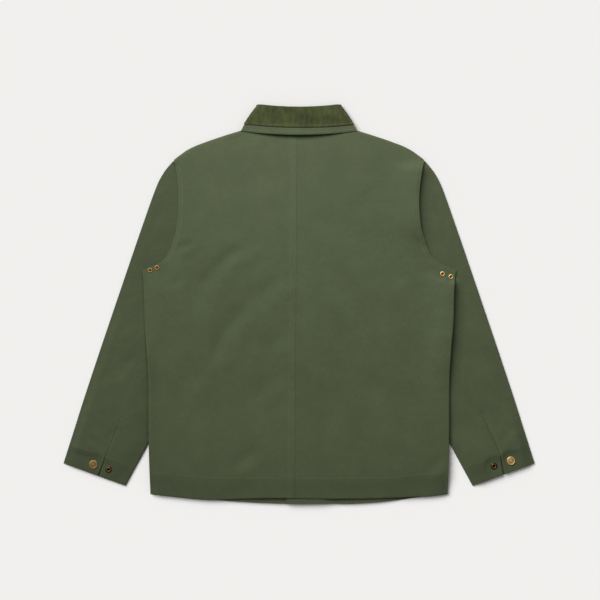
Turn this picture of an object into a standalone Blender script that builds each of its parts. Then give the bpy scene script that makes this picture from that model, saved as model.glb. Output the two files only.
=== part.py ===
"""A shirt jacket lying on its front, sleeves drawn down beside the body, seen from the back.

Tables and sizes are in millimetres. x runs out from the centre back, y up the jacket from its
lowest hem, z up from the surface that it lies on. Left and right are the wearer's: as the jacket
lies on its front, its left half is at -X. Every piece of cloth is a wall made from an open sheet.
"""
import math

import bmesh
import bpy
from mathutils import Vector

MM = 0.001

# ---- driving sizes
LENGTH = 778.4          # collar roll to the lowest point of the front hem
WALL = 1.5              # cloth
GAP = 0.3               # between pieces at a seam
SLACK = 0.6             # between layers that only lie on each other
NECK_HALF = 113.0       # centre back to the neck end of the shoulder
BACK_NECK = 724.0       # height of the neck seam at the centre back
FRONT_NECK = 640.0      # height of the neck seam at the centre front
SHOULDER_TIP = 670.6    # height where shoulder, sleeve and armhole meet
UNDERARM = 456.1        # height of the underarm corner
CUFF_INNER = 35.3       # height of the cuff's inner corner
PLACKET_HALF = 24.0     # each front passes the centre by this much
FELL_TOP = 4.0          # the centre-back seam lies this far left of the centre at the neck
FELL_HEM = 8.0          # and this far at the hem
BACK_HEM = 10.2         # height of the back's hem, level across the middle
BACK_HEM_RISE = 10.0    # and this much higher at the sides
FRONT_HEM_RISE = 19.0   # the front's hem is this much higher at the sides
VENT_TOP = 78.0         # height of the cuff vent's closed end
VENT_OPEN = 1.4         # the vent stands open by this much at the cuff

# ---- heights of the layers
SLEEVE_TOP = 2 * WALL + SLACK               # outer face of a flat sleeve
OVER_SLEEVE = SLEEVE_TOP + GAP + 0.1        # a front lying on a sleeve
OVER_PLACKET = 2 * WALL + SLACK + 0.3       # the right front lying on the left one and its snaps
OVER_LEAF = WALL + GAP + 0.1                # a front lying on a collar leaf
BACK_TOP = 7.2                              # outer face of the back
BODY_RISE = 0.4                             # the back lies this much higher over a sleeve
ARMHOLE_TOP = SLEEVE_TOP + GAP + WALL       # outer face of the back along the armhole
HEM_SINK = 1.2                              # the back lies lower towards its hem
SLEEVE_PUFF = 3.0                           # air inside a sleeve
FOLD_RADIUS = SLEEVE_TOP / 2                # round fold along a sleeve
CLEAR_OF_SLEEVE = 24.0                      # the body stays lifted this far past a hidden sleeve
LIFT_FALL = 32.0                            # and sinks to the surface over this width
EDGE_WIDTH = 15.0                           # the back falls to its seams over this width
HEM_SINK_TOP = 85.0                         # the back starts to sink at this height
HEM_SINK_FROM = 60.0                        # and reaches its full sink twice this far out
PLACKET_EDGE = 1.5 * PLACKET_HALF           # the right front starts to fall off the left one here
PLACKET_FALL = 40.0                         # over this width
LEAF_REACH = 42.0                           # a front stays lifted this far from a leaf's middle
LEAF_FALL = 26.0                            # and sinks over this width
PUFF_START = 14.0                           # a sleeve swells from this far outside the body
PUFF_RISE = 26.0                            # over this width
FOLD_RISE = 22.0                            # and over this width from its own folds
ARMHOLE_LAP = 8.0                           # the sleeve runs this far under the back's armhole

# height up, distance out: the sleeve's outer fold, from the shoulder tip to the cuff
OUTER_FOLD = (
    (670.6, 243.9), (651.1, 260.5), (631.6, 272.4), (612.1, 280.8), (592.6, 288.0), (553.6, 301.7),
    (495.1, 321.9), (397.6, 355.1), (300.1, 388.1), (202.6, 420.4), (144.1, 438.9), (79.2, 459.6),
)
# height up, distance out: the sleeve's inner fold, from the underarm to the cuff
INNER_FOLD = (
    (454.2, 304.2), (442.5, 271.1), (426.9, 236.0), (391.8, 204.8), (339.1, 195.0), (280.6, 208.7),
    (202.6, 251.6), (121.5, 291.9), (35.3, 338.5),
)
# height up, distance out: armhole seam, from the shoulder tip to the underarm
ARMHOLE = (
    (670.6, 243.9), (628.1, 237.0), (598.5, 235.6), (567.3, 236.7), (533.1, 240.6), (502.9, 249.2),
    (478.7, 262.1), (468.8, 275.3), (456.1, 305.6),
)
# height up, distance out: side fold of the body, from the underarm to the hem
SIDE = (
    (456.1, 305.6), (415.2, 302.6), (358.6, 301.1), (300.1, 296.6), (247.5, 293.3), (202.6, 292.9),
    (109.0, 293.7), (20.0, 289.5),
)
# distance out, height up: shoulder fold, from the neck to the shoulder tip
SHOULDER = (
    (113.0, 728.1), (131.0, 722.5), (150.2, 716.6), (184.1, 704.9), (212.2, 693.2), (232.1, 680.2),
    (243.9, 670.6),
)
# height of the inner end of a sleeve's section, share of the width at the back seam and at the
# front seam under the sleeve
SLEEVE_SEAMS = (
    (35.3, 0.555, 0.86), (120.0, 0.53, 0.86), (287.0, 0.506, 0.86), (380.0, 0.56, 0.88),
    (425.0, 0.72, 0.93), (445.0, 0.90, 0.97),
)
# soft troughs in the back: x, y of both ends, depth, half width
TROUGHS = (
    (-127, 494, -187, 423, 1.6, 20), (-187, 423, -209, 325, 1.5, 22), (-38, 439, -135, 337, 1.3, 20),
    (-135, 337, -224, 236, 1.5, 22), (-224, 236, -258, 154, 1.0, 18), (120, 430, 205, 330, 1.0, 24),
    (90, 300, 190, 190, 0.9, 24),
)
# share of the armhole, from the shoulder tip down, where the lap starts, is full, narrows and ends
LAP_SHARES = (0.06, 0.22, 0.66, 0.78)
# the middle line of a collar leaf under the front: height up, distance out
LEAF_LINE = ((748.0, 97.0), (620.0, 28.0))
# corners of a collar leaf: distance out, height up
LEAF_SEAM_FRONT, LEAF_SEAM_BACK = (8.0, 648.0), (83.0, 770.0)
LEAF_EDGE_FRONT, LEAF_EDGE_BACK = (45.0, 592.0), (112.0, 728.0)
# the strip behind a cuff vent: heights up the sleeve, shares of its width
UNDERLAP_HEIGHTS = (76.0, 56.0, 37.5)
UNDERLAP_SHARES = (0.34, 0.44, 0.54, 0.63)
# eyelets on the back beside the underarm corners: x, y
EYELETS = {
    "eyelet_left_outer": (-290.0, 455.5),
    "eyelet_left_inner": (-276.5, 460.5),
    "eyelet_right_outer": (296.0, 443.0),
    "eyelet_right_inner": (279.6, 448.5),
}
# cuff hardware: x, y
SNAP_CAPS = {"snap_cap_left": (-400.5, 77.4), "snap_cap_right": (412.8, 84.6)}
SNAP_STUDS = {"snap_stud_left": (-370.9, 67.5), "snap_stud_right": (379.7, 74.3)}
FRONT_SNAPS = (70.0, 185.0, 300.0, 415.0, 530.0)    # heights up the front edge

# radius, height: hardware profiles, top to bottom down the outer side
EYELET = ((2.5, 0.7), (3.3, 1.2), (4.4, 1.0), (4.9, 0.3), (4.9, 0.0), (2.5, 0.0))
CAP = ((0.0, 2.0), (5.6, 1.9), (6.2, 2.2), (7.8, 1.8), (8.5, 0.9), (8.2, 0.0), (0.0, 0.0))
STUD = ((0.0, 1.0), (1.7, 1.0), (2.2, 0.9), (3.4, 2.3), (4.6, 2.0), (6.6, 0.8), (6.5, 0.0), (0.0, 0.0))
FRONT_SNAP = ((0.0, 1.5), (5.6, 1.5), (6.5, 0.9), (6.5, 0.0), (0.0, 0.0))
EYELET_SEAT, CAP_SEAT, STUD_SEAT = 4.9, 12.0, 10.0      # radii of their seats

# sRGB colour, roughness, metallic
FINISHES = {
    "twill": ((0.31, 0.35, 0.25), 0.85, 0.0),
    "corduroy": ((0.27, 0.29, 0.19), 0.95, 0.0),
    "brass": ((0.62, 0.49, 0.26), 0.35, 1.0),
    "antique_brown": ((0.17, 0.11, 0.08), 0.45, 1.0),
}


def smooth(t):
    t = min(max(t, 0.0), 1.0)
    return t * t * (3 - 2 * t)


def ease(table, key, column=1):
    """The smooth curve through a table's column, read at a key; its first column may rise or fall."""
    rows = sorted(table)
    if key <= rows[0][0]:
        return rows[0][column]
    if key >= rows[-1][0]:
        return rows[-1][column]
    i = max(n for n, row in enumerate(rows) if row[0] <= key)

    def slope(n):
        low, high = rows[max(n - 1, 0)], rows[min(n + 1, len(rows) - 1)]
        return (high[column] - low[column]) / (high[0] - low[0])

    step = rows[i + 1][0] - rows[i][0]
    t = (key - rows[i][0]) / step
    return ((2 * t ** 3 - 3 * t ** 2 + 1) * rows[i][column] + (t ** 3 - 2 * t ** 2 + t) * step * slope(i)
            + (3 * t ** 2 - 2 * t ** 3) * rows[i + 1][column] + (t ** 3 - t ** 2) * step * slope(i + 1))


def away(table, x, y):
    """Distance from a point to the broken line of a table of (y, x) rows."""
    best = 1e9
    for (ay, ax), (by, bx) in zip(table, table[1:]):
        dx, dy = bx - ax, by - ay
        t = min(max(((x - ax) * dx + (y - ay) * dy) / (dx * dx + dy * dy), 0.0), 1.0)
        best = min(best, math.hypot(x - ax - t * dx, y - ay - t * dy))
    return best


def body_edge(y):
    """Distance out to the body's edge: the armhole above the underarm, the side fold below it."""
    return ease(ARMHOLE, y) if y > UNDERARM else ease(SIDE, y)


def lift(x, y):
    """1 where a sleeve lies under the body, falling to 0 beside it."""
    x = abs(x)
    inside = CUFF_INNER < y < INNER_FOLD[0][0] and x > ease(INNER_FOLD, y)
    gap = 0.0 if inside else away(INNER_FOLD, x, y)
    return 1 - smooth((gap - CLEAR_OF_SLEEVE) / LIFT_FALL)


def leaf_lift(x, y):
    """1 where a collar leaf lies under the front."""
    return 1 - smooth((away(LEAF_LINE, abs(x), y) - LEAF_REACH) / LEAF_FALL)


def front_low(x, y, over_placket=False):
    """Height of a front's outer face, which looks down."""
    z = max(OVER_SLEEVE * lift(x, y), OVER_LEAF * leaf_lift(x, y))
    if over_placket:
        z = max(z, OVER_PLACKET * (1 - smooth((x - PLACKET_EDGE) / PLACKET_FALL)))
    return z


def back_high(x, y):
    """Height of the back's outer face: flat, lower along the armhole and hem, with soft troughs."""
    under = front_low(x, y, x > -PLACKET_EDGE)
    z = BACK_TOP + BODY_RISE * lift(x, y)
    near_hem = 1 - smooth((y - SIDE[-1][0]) / (HEM_SINK_TOP - SIDE[-1][0]))
    z -= HEM_SINK * near_hem * smooth((abs(x) - HEM_SINK_FROM) / HEM_SINK_FROM)
    for x0, y0, x1, y1, depth, half in TROUGHS:
        z -= depth * (1 - smooth(away(((y0, x0), (y1, x1)), x, y) / half))
    z = max(z, under + 2 * WALL + SLACK)
    out = abs(x)
    to_shoulder = away([(high, wide) for wide, high in SHOULDER], out, y)
    to_edge = min(to_shoulder, away(SIDE, out, y))
    seam = under + 2 * WALL + GAP
    z -= (z - seam) * (1 - smooth(to_edge / EDGE_WIDTH))
    over_sleeve = max(seam, ARMHOLE_TOP)
    z += (over_sleeve - z) * (1 - smooth(away(ARMHOLE, out, y) / EDGE_WIDTH))
    return z


def sleeve_high(x, y):
    """Height of a sleeve's upper face: pressed flat at its folds and under the body."""
    x = abs(x)
    bare = x > body_edge(y) or y < SIDE[-1][0]
    from_body = min(away(ARMHOLE, x, y), away(SIDE, x, y)) if bare else 0.0
    puff = smooth((from_body - PUFF_START) / PUFF_RISE)
    puff *= smooth(away(OUTER_FOLD, x, y) / FOLD_RISE)
    puff *= smooth(away(INNER_FOLD[-2:], x, y) / FOLD_RISE)
    return SLEEVE_TOP + SLEEVE_PUFF * puff


def shoulder_edge(x):
    """Height of the back's top edge at a distance out."""
    x = abs(x)
    if x > NECK_HALF:
        return ease(SHOULDER, x)
    return BACK_NECK + (SHOULDER[0][1] - BACK_NECK) * (x / NECK_HALF) ** 2


def front_edge(x):
    """Height of a front's top edge: the scooped neck, then the shoulder."""
    x = abs(x)
    if x > NECK_HALF:
        return ease(SHOULDER, x)
    scoop = math.sqrt(1 - (x / NECK_HALF) ** 2)
    return SHOULDER[0][1] - (SHOULDER[0][1] - FRONT_NECK) * scoop


def back_hem(x):
    """Height of the back's hem: level, turning up over the outer half of each side."""
    half = SIDE[-1][1] / 2
    return BACK_HEM + BACK_HEM_RISE * smooth((abs(x) - half) / half)


def front_hem(x):
    """Height of a front's hem: lowest at the centre."""
    return FRONT_HEM_RISE * min(abs(x) / SIDE[-1][1], 1.0) ** 1.6


def wall(name, rows, finish, mirrored=False, thick=WALL):
    """A sheet of cloth from rows of outer points, with its thickness added on the inner side."""
    built = bmesh.new()
    grid = []
    for row in rows:
        line = []
        for x, y, z in row:
            line.append(built.verts.new((x * MM, (y - LENGTH / 2) * MM, z * MM)))
        grid.append(line)
    for upper, lower in zip(grid, grid[1:]):
        for i in range(len(upper) - 1):
            corners = [upper[i], lower[i], lower[i + 1], upper[i + 1]]
            built.faces.new(corners[::-1] if mirrored else corners)
    mesh = bpy.data.meshes.new(name)
    built.to_mesh(mesh)
    built.free()
    piece = bpy.data.objects.new(name, mesh)
    jacket.objects.link(piece)
    mesh.materials.append(finishes[finish])
    mesh.shade_smooth()
    solidify = piece.modifiers.new("cloth", "SOLIDIFY")
    solidify.thickness = thick * MM
    solidify.offset = -1
    return piece


# ---- body: half panels, in columns from the centre out and rows from the shoulder down
UPPER_LEVELS = (666.0, 660.0, 650.0, 628.0, 598.0, 562.0, 528.0, 500.0, 480.0, 468.0, 460.0)
LOWER_LEVELS = (440.0, 408.0, 370.0, 330.0, 290.0, 250.0, 210.0, 170.0, 130.0, 90.0, 55.0)
NECK_COLUMNS = 6
SIDE_COLUMNS = 6
EDGE_COLUMNS = (15.0, 9.0, 4.0, 0.0)        # distances in from the edge


def half_panel(side, centre, top_edge, hem, face):
    """One half of the back or front; face gives the height of its outer face."""
    tip = ease(ARMHOLE, SHOULDER_TIP)
    side_hem = hem(SIDE[-1][1])
    rows = []
    for level in (SHOULDER_TIP,) + UPPER_LEVELS + (UNDERARM,) + LOWER_LEVELS + (side_hem,):
        edge = body_edge(level)
        start = centre(level)
        neck = NECK_HALF * edge / tip
        spots = []
        for n in range(NECK_COLUMNS):
            spots.append((start + (neck - start) * n / NECK_COLUMNS,
                          start + (NECK_HALF - start) * n / NECK_COLUMNS))
        for n in range(SIDE_COLUMNS):
            share = n / SIDE_COLUMNS
            spots.append((neck + (edge - EDGE_COLUMNS[0] - neck) * share,
                          NECK_HALF + (tip - EDGE_COLUMNS[0] - NECK_HALF) * share))
        for inward in EDGE_COLUMNS:
            spots.append((edge - inward, tip - inward))
        row = []
        for x, top_x in spots:
            if level >= UNDERARM:
                v = (SHOULDER_TIP - level) / (SHOULDER_TIP - UNDERARM)
                y = top_edge(top_x) * (1 - v) + UNDERARM * v
            else:
                v = (UNDERARM - level) / (UNDERARM - side_hem)
                y = level + (hem(x) - side_hem) * v
            row.append([side * x, y, face(side * x, y)])
        rows.append(row)
    return rows


def make_body():
    for name, side in (("left", -1), ("right", 1)):
        def fell(y):
            lean = FELL_TOP + (FELL_HEM - FELL_TOP) * (BACK_NECK - y) / BACK_NECK
            return GAP / 2 - side * lean

        def front_face(x, y):
            return front_low(x, y, side > 0)

        rows = half_panel(side, fell, shoulder_edge, back_hem, back_high)
        wall("back_" + name, rows, "twill", side < 0)
        rows = half_panel(side, lambda y: -PLACKET_HALF, front_edge, front_hem, front_face)
        wall("front_" + name, rows, "twill", side > 0)


# ---- sleeves: sections across the sleeve, from under the front round a fold to the back seam
SECTION_HEIGHTS = UPPER_LEVELS + (
    450.0, 434.0, 412.0, 378.0, 338.0, 290.0, 245.0, 200.0, 160.0, 120.0, 78.0, CUFF_INNER,
)


UNDER_TOP = 437.0       # the under sleeve's widths are nothing above this inner height


def sleeve_ends(inner_height, lapped):
    """Outer and inner end (x, y) of a section. lapped runs the inner end under the back."""
    slant = max(0.0, (UNDERARM - inner_height) / (UNDERARM - CUFF_INNER))
    outer_height = inner_height + (OUTER_FOLD[-1][0] - CUFF_INNER) * slant
    outer = (ease(OUTER_FOLD, outer_height), outer_height)
    if inner_height < UNDERARM:
        return outer, (ease(INNER_FOLD, inner_height), inner_height)
    depth = (SHOULDER_TIP - inner_height) / (SHOULDER_TIP - UNDERARM)
    starts, full, narrows, ends = LAP_SHARES
    lap = ARMHOLE_LAP * smooth((depth - starts) / (full - starts)) * smooth((ends - depth) / (ends - narrows))
    edge = ease(ARMHOLE, inner_height)
    lean = (ease(ARMHOLE, inner_height + 1.0) - ease(ARMHOLE, inner_height - 1.0)) / 2
    apart = 1.6 * GAP
    if lapped:
        apart -= lap
    return outer, (edge + apart / math.hypot(1.0, lean), inner_height - apart * lean / math.hypot(1.0, lean))


def across(start, end, share):
    """The point (x, y) at a share of the way from one point to another."""
    return [start[k] + (end[k] - start[k]) * share for k in (0, 1)]


def fold_points(end, other, rising):
    """Points round a fold at the end of a section, from the underside up or from the top down."""
    width = math.hypot(end[0] - other[0], end[1] - other[1])
    points = []
    for angle in (-60, -20, 20, 60):
        tilt = math.radians(angle if rising else -angle)
        x, y = across(end, other, FOLD_RADIUS * (1 - math.cos(tilt)) / width)
        points.append([x, y, FOLD_RADIUS * (1 + math.sin(tilt))])
    return points


def seam_shares(inner_height):
    """Shares of the width at the back seam and the front seam: 1 where they run into the armhole."""
    if inner_height > SLEEVE_SEAMS[-1][0]:
        return 1.0, 1.0
    return ease(SLEEVE_SEAMS, inner_height, 1), ease(SLEEVE_SEAMS, inner_height, 2)


def vent_gap(inner_height):
    """Width left between the sleeve pieces: a plain seam, opening to a slit at the cuff."""
    return GAP + VENT_OPEN * smooth((VENT_TOP - inner_height) / (VENT_TOP - CUFF_INNER))


def make_sleeves():
    for name, side in (("left", -1), ("right", 1)):
        top_rows, under_rows = [], []
        for height in SECTION_HEIGHTS:
            outer, low_inner = sleeve_ends(height, False)
            inner = sleeve_ends(height, True)[1]
            width = math.hypot(outer[0] - inner[0], outer[1] - inner[1])
            back_seam, front_seam = seam_shares(height)
            near = 1.15 * FOLD_RADIUS / width
            row = []
            for n in range(6):
                share = front_seam + (near - front_seam) * n / 5
                row.append(across(outer, low_inner, share) + [0.0])
            row += fold_points(outer, inner, True)
            for n in range(6):
                x, y = across(outer, inner, near + (back_seam - near) * n / 5)
                row.append([x, y, sleeve_high(x, y)])
            top_rows.append([[side * x, y, z] for x, y, z in row])
            if height > UNDER_TOP:
                continue
            row = []
            start = back_seam + vent_gap(height) / width
            for n in range(5):
                x, y = across(outer, inner, start + (1 - near - start) * n / 4)
                row.append([x, y, sleeve_high(x, y)])
            row += fold_points(inner, outer, False)
            end = front_seam + GAP / width
            for n in range(3):
                row.append(across(outer, inner, 1 - near + (end - 1 + near) * n / 2) + [0.0])
            under_rows.append([[side * x, y, z] for x, y, z in row])
        wall("sleeve_top_" + name, top_rows, "twill", side > 0)
        wall("sleeve_under_" + name, under_rows, "twill", side > 0)
        make_underlap(name, side)


def make_underlap(name, side):
    """The strip behind the vent, inside the cuff and under the snap cap."""
    rows = []
    for height in UNDERLAP_HEIGHTS:
        outer, inner = sleeve_ends(height, True)
        row = []
        for share in UNDERLAP_SHARES:
            x, y = across(outer, inner, share)
            row.append([side * x, y, 2 * WALL + SLACK])
        rows.append(row)
    wall("cuff_underlap_" + name, rows, "twill", side > 0)


# ---- collar: half widths at the roll and at the free edge, heights of both at the centre and side
ROLL_HALF = 82.0
ROLL_SIDE = 776.8
ROLL_CENTRE = 772.6
FREE_HALF = 112.0
FREE_SIDE = 727.5
FREE_CENTRE = 717.4
FALL_TOP = 9.6          # outer face of the twill fall over the back
FALL_STAND_OFF = 2.4    # the free edge stands up this much more at the centre
FALL_DEPTHS = (0.14, 0.28, 0.42, 0.56, 0.70, 0.85, 1.0)
CORDUROY_ROWS = 9       # the corduroy covers the fall's roll and this many of its rows in all
COLLAR_COLUMNS = 14
ROLL_RADIUS = 2.15
ROLL_ANGLES = (-60, -20, 20, 60)
SIDE_CURL = ((9.0, 0.0), (5.5, 0.4), (2.5, 1.5), (0.0, 3.2))   # distance in from the side, drop
STAND_TOP = 765.0       # height of the stand's top edge, under the roll
STAND_FOOT_HALF = 97.0
STAND_TOP_HALF = 74.0
STAND_RISE = 0.6        # its top edge lies this much higher, against the fall


def moved_out(rows, distance):
    """The same sheet, each point moved out along the sheet's normal."""
    moved = []
    for r, row in enumerate(rows):
        above, below = rows[max(r - 1, 0)], rows[min(r + 1, len(rows) - 1)]
        line = []
        for n, point in enumerate(row):
            here = Vector(point)
            right = Vector(row[min(n + 1, len(row) - 1)]) - here
            left = here - Vector(row[max(n - 1, 0)])
            up = Vector(above[n]) - here
            down = here - Vector(below[n])
            along = right.normalized() + left.normalized()
            normal = along.cross(up.normalized() + down.normalized()).normalized()
            line.append(list(here + normal * distance))
        moved.append(line)
    return moved


def fall_rows():
    """The fall's outer points, from under the roll to the free edge."""
    rows = []
    bend = [(angle, 0.0) for angle in ROLL_ANGLES]
    flat = [(90, depth) for depth in FALL_DEPTHS]
    half_count = COLLAR_COLUMNS // 2
    ends = len(SIDE_CURL) - 1
    for angle, depth in bend + flat:
        row = []
        for n in range(-half_count - ends, half_count + ends + 1):
            part = min(abs(n) / half_count, 1.0)
            inward, drop = SIDE_CURL[max(abs(n) - half_count, 0)]
            half = ROLL_HALF + (FREE_HALF - ROLL_HALF) * depth - inward
            x = math.copysign(part, n) * half
            roll = ROLL_CENTRE + (ROLL_SIDE - ROLL_CENTRE) * part ** 2
            free = FREE_CENTRE + (FREE_SIDE - FREE_CENTRE) * part ** 2
            y = roll - ROLL_RADIUS + (free - roll) * depth
            tilt = math.radians(angle)
            y += ROLL_RADIUS * math.cos(tilt)
            z = FALL_TOP - ROLL_RADIUS + ROLL_RADIUS * math.sin(tilt)
            z += FALL_STAND_OFF * smooth(depth) * (1 - part ** 2)
            drop *= (0.5 + 0.5 * math.sin(tilt)) * (1 - smooth((depth - 0.55) / 0.3))
            row.append([x, y, z - drop])
        rows.append(row)
    return rows


def make_collar():
    wall("collar_fall", fall_rows(), "twill")
    wall("collar_corduroy", moved_out(fall_rows()[:CORDUROY_ROWS], GAP + WALL), "corduroy")
    stand = []
    for share in (0.0, 0.35, 0.7, 1.0):
        row = []
        for n in range(-6, 7):
            x = n / 6 * (STAND_FOOT_HALF + (STAND_TOP_HALF - STAND_FOOT_HALF) * share)
            foot = shoulder_edge(x) + GAP
            row.append([x, foot + (STAND_TOP - foot) * share, BACK_TOP + STAND_RISE * share])
        stand.append(row[::-1])
    wall("collar_stand", stand, "twill")
    for name, side in (("left", -1), ("right", 1)):
        rows = []
        for share in (0.0, 0.33, 0.66, 1.0):
            front_end = across(LEAF_SEAM_FRONT, LEAF_EDGE_FRONT, share)
            back_end = across(LEAF_SEAM_BACK, LEAF_EDGE_BACK, share)
            row = []
            for along, rise in ((0.0, 0.0), (0.5, 0.0), (0.97, 0.0), (1.0, 0.6)):
                x, y = across(front_end, back_end, along)
                row.append([side * x, y, rise])
            rows.append(row)
        wall("collar_leaf_" + name, rows, "corduroy", side > 0)


# ---- hardware: turned profiles
def turned(name, profile, x, y, base, finish, steps=16):
    """A turned piece standing on the height base at (x, y). A hollow profile closes on itself."""
    built = bmesh.new()
    points = list(profile)
    if points[0][0] > 0:
        points.append(points[0])
    corners = [built.verts.new((r * MM, 0.0, h * MM)) for r, h in points]
    for a, b in zip(corners, corners[1:]):
        built.edges.new((a, b))
    mesh = bpy.data.meshes.new(name)
    built.to_mesh(mesh)
    built.free()
    piece = bpy.data.objects.new(name, mesh)
    jacket.objects.link(piece)
    piece.location = (x * MM, (y - LENGTH / 2) * MM, base * MM)
    mesh.materials.append(finishes[finish])
    screw = piece.modifiers.new("turn", "SCREW")
    screw.steps = steps
    screw.render_steps = steps
    screw.use_merge_vertices = True
    screw.merge_threshold = 0.00001
    weld = piece.modifiers.new("close", "WELD")
    weld.merge_threshold = 0.00001
    return piece


def highest(surface, x, y, radius):
    """The highest point of a surface within a radius."""
    heights = [surface(x, y)]
    for n in range(12):
        turn = 2 * math.pi * n / 12
        heights.append(surface(x + radius * math.cos(turn), y + radius * math.sin(turn)))
    return max(heights)


def make_hardware():
    """Each piece stands on the highest cloth within its seat's radius."""
    for name, (x, y) in EYELETS.items():
        turned(name, EYELET, x, y, highest(back_high, x, y, EYELET_SEAT) + GAP, "brass")
    for name, (x, y) in SNAP_CAPS.items():
        turned(name, CAP, x, y, highest(sleeve_high, x, y, CAP_SEAT) + GAP, "brass")
    for name, (x, y) in SNAP_STUDS.items():
        turned(name, STUD, x, y, highest(sleeve_high, x, y, STUD_SEAT) + GAP, "antique_brown")
    for n, y in enumerate(FRONT_SNAPS):
        turned("front_snap_%d" % (n + 1), FRONT_SNAP, 0.0, y, WALL + GAP, "antique_brown", 12)


def linear(channel):
    return channel / 12.92 if channel <= 0.04045 else ((channel + 0.055) / 1.055) ** 2.4


def make_finishes():
    made = {}
    for name, (colour, roughness, metallic) in FINISHES.items():
        material = bpy.data.materials.new(name)
        material.use_nodes = True
        shader = material.node_tree.nodes["Principled BSDF"]
        shader.inputs["Base Color"].default_value = [linear(c) for c in colour] + [1.0]
        shader.inputs["Roughness"].default_value = roughness
        shader.inputs["Metallic"].default_value = metallic
        made[name] = material
    return made


for old in list(bpy.data.objects):
    bpy.data.objects.remove(old)
jacket = bpy.data.collections.new("shirt_jacket")
bpy.context.scene.collection.children.link(jacket)
finishes = make_finishes()
make_body()
make_sleeves()
make_collar()
make_hardware()
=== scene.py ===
# %% [markdown]
# # A shirt jacket laid on its front
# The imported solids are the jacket's construction: each sewn piece, where it lies and how big it is.
# This script dresses them. Every piece of cloth gets a thin shell of its own with its folds, hems and
# seam puckers, and then its weave, its nap and its thread. Nothing here moves a solid.

# %% The frame, and the box that the looks have to stay in
import math

import bpy
import numpy as np
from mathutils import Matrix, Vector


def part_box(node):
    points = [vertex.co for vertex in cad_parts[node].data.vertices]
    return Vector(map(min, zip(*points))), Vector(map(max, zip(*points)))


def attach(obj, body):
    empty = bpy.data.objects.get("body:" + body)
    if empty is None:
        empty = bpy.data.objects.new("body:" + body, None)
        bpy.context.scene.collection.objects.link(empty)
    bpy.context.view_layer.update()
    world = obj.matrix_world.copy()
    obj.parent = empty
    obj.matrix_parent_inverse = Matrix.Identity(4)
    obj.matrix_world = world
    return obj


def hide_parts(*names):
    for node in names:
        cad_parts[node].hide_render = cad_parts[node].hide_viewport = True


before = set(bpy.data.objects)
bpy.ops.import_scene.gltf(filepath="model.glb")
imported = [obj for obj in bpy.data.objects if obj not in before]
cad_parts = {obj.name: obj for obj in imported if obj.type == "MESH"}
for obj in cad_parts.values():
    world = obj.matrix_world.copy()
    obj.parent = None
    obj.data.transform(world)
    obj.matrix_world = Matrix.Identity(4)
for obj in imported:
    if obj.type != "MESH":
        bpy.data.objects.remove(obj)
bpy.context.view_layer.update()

# %% [markdown]
# ## Sizes
# All sizes are in millimetres, as a pattern cutter writes them: x out from the centre back, y up from the
# lowest hem, z up from the table. The jacket's left half lies at -x. `place` turns them to the frame's
# metres, whose middle is halfway up the jacket. A few tables give the outlines, and a smooth curve through
# each table gives the points between its rows.

# %% Helpers for sizes and curves
MM = 0.001
LENGTH = 778.4
WALL = 1.5              # cloth
GAP = 0.3               # between pieces at a seam
SLACK = 0.6             # between layers that only lie on each other
SIDES = (("left", -1), ("right", 1))


def place(points):
    """Points in millimetres to the frame's metres."""
    return (np.asarray(points, float) - (0, LENGTH / 2, 0)) * MM


def joined(*columns):
    """Columns of values, side by side in one array."""
    return np.stack(np.broadcast_arrays(*columns), -1)


def smooth(t):
    """0 below 0, 1 above 1, and an even rise between."""
    t = np.clip(t, 0, 1)
    return t * t * (3 - 2 * t)


def run(value, start, full):
    """0 up to a start, 1 from where it is full, and an even rise between. full may lie below start."""
    return smooth((value - start) / (full - start))


def bell(distance, width):
    """1 at no distance, falling off on both sides over about a width."""
    return np.exp(-(distance / width) ** 2)


def by_side(table, x):
    """A table's value for the half of the jacket that a point lies on."""
    return np.where(x > 0, table[1], table[-1])


def ease(table, key, column=1):
    """The smooth curve through a table's column, read at a key."""
    rows = np.array(sorted(table), float)
    keys, values = rows[:, 0], rows[:, column]
    slopes = np.empty(len(keys))
    slopes[1:-1] = (values[2:] - values[:-2]) / (keys[2:] - keys[:-2])
    slopes[0] = (values[1] - values[0]) / (keys[1] - keys[0])
    slopes[-1] = (values[-1] - values[-2]) / (keys[-1] - keys[-2])
    key = np.clip(key, keys[0], keys[-1])
    i = np.clip(np.searchsorted(keys, key, side="right") - 1, 0, len(keys) - 2)
    step = keys[i + 1] - keys[i]
    t = (key - keys[i]) / step
    return ((2 * t ** 3 - 3 * t ** 2 + 1) * values[i] + (t ** 3 - 2 * t ** 2 + t) * step * slopes[i]
            + (3 * t ** 2 - 2 * t ** 3) * values[i + 1] + (t ** 3 - t ** 2) * step * slopes[i + 1])


def away(line, x, y):
    """Distance from points, on either half of the jacket, to a broken line of (y, x) rows."""
    x = np.abs(x)
    best = np.full(np.broadcast(x, y).shape, 1e9)
    for (ay, ax), (by, bx) in zip(line, line[1:]):
        dx, dy = bx - ax, by - ay
        t = np.clip(((x - ax) * dx + (y - ay) * dy) / (dx * dx + dy * dy), 0, 1)
        best = np.minimum(best, np.hypot(x - ax - t * dx, y - ay - t * dy))
    return best


print("a point 100 mm up the centre back lies at", place([0, 100, 0]))

# %% [markdown]
# ## Nodes
# A material is a tree of nodes. One helper adds a node, and the small ones after it stand for the few kinds
# that every material here needs, so that each tree reads as a recipe.

# %% Helpers for materials
def linear(hex_colour):
    """An sRGB hex colour as linear RGBA."""
    channels = [int(hex_colour[i:i + 2], 16) / 255 for i in (1, 3, 5)]
    return [c / 12.92 if c <= 0.04045 else ((c + 0.055) / 1.055) ** 2.4 for c in channels] + [1]


def feed(node, inputs):
    """Sets a node's inputs, or links them where a socket is given."""
    for key, value in inputs.items():
        if isinstance(value, bpy.types.NodeSocket):
            node.id_data.links.new(value, node.inputs[key])
        else:
            node.inputs[key].default_value = value


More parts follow.
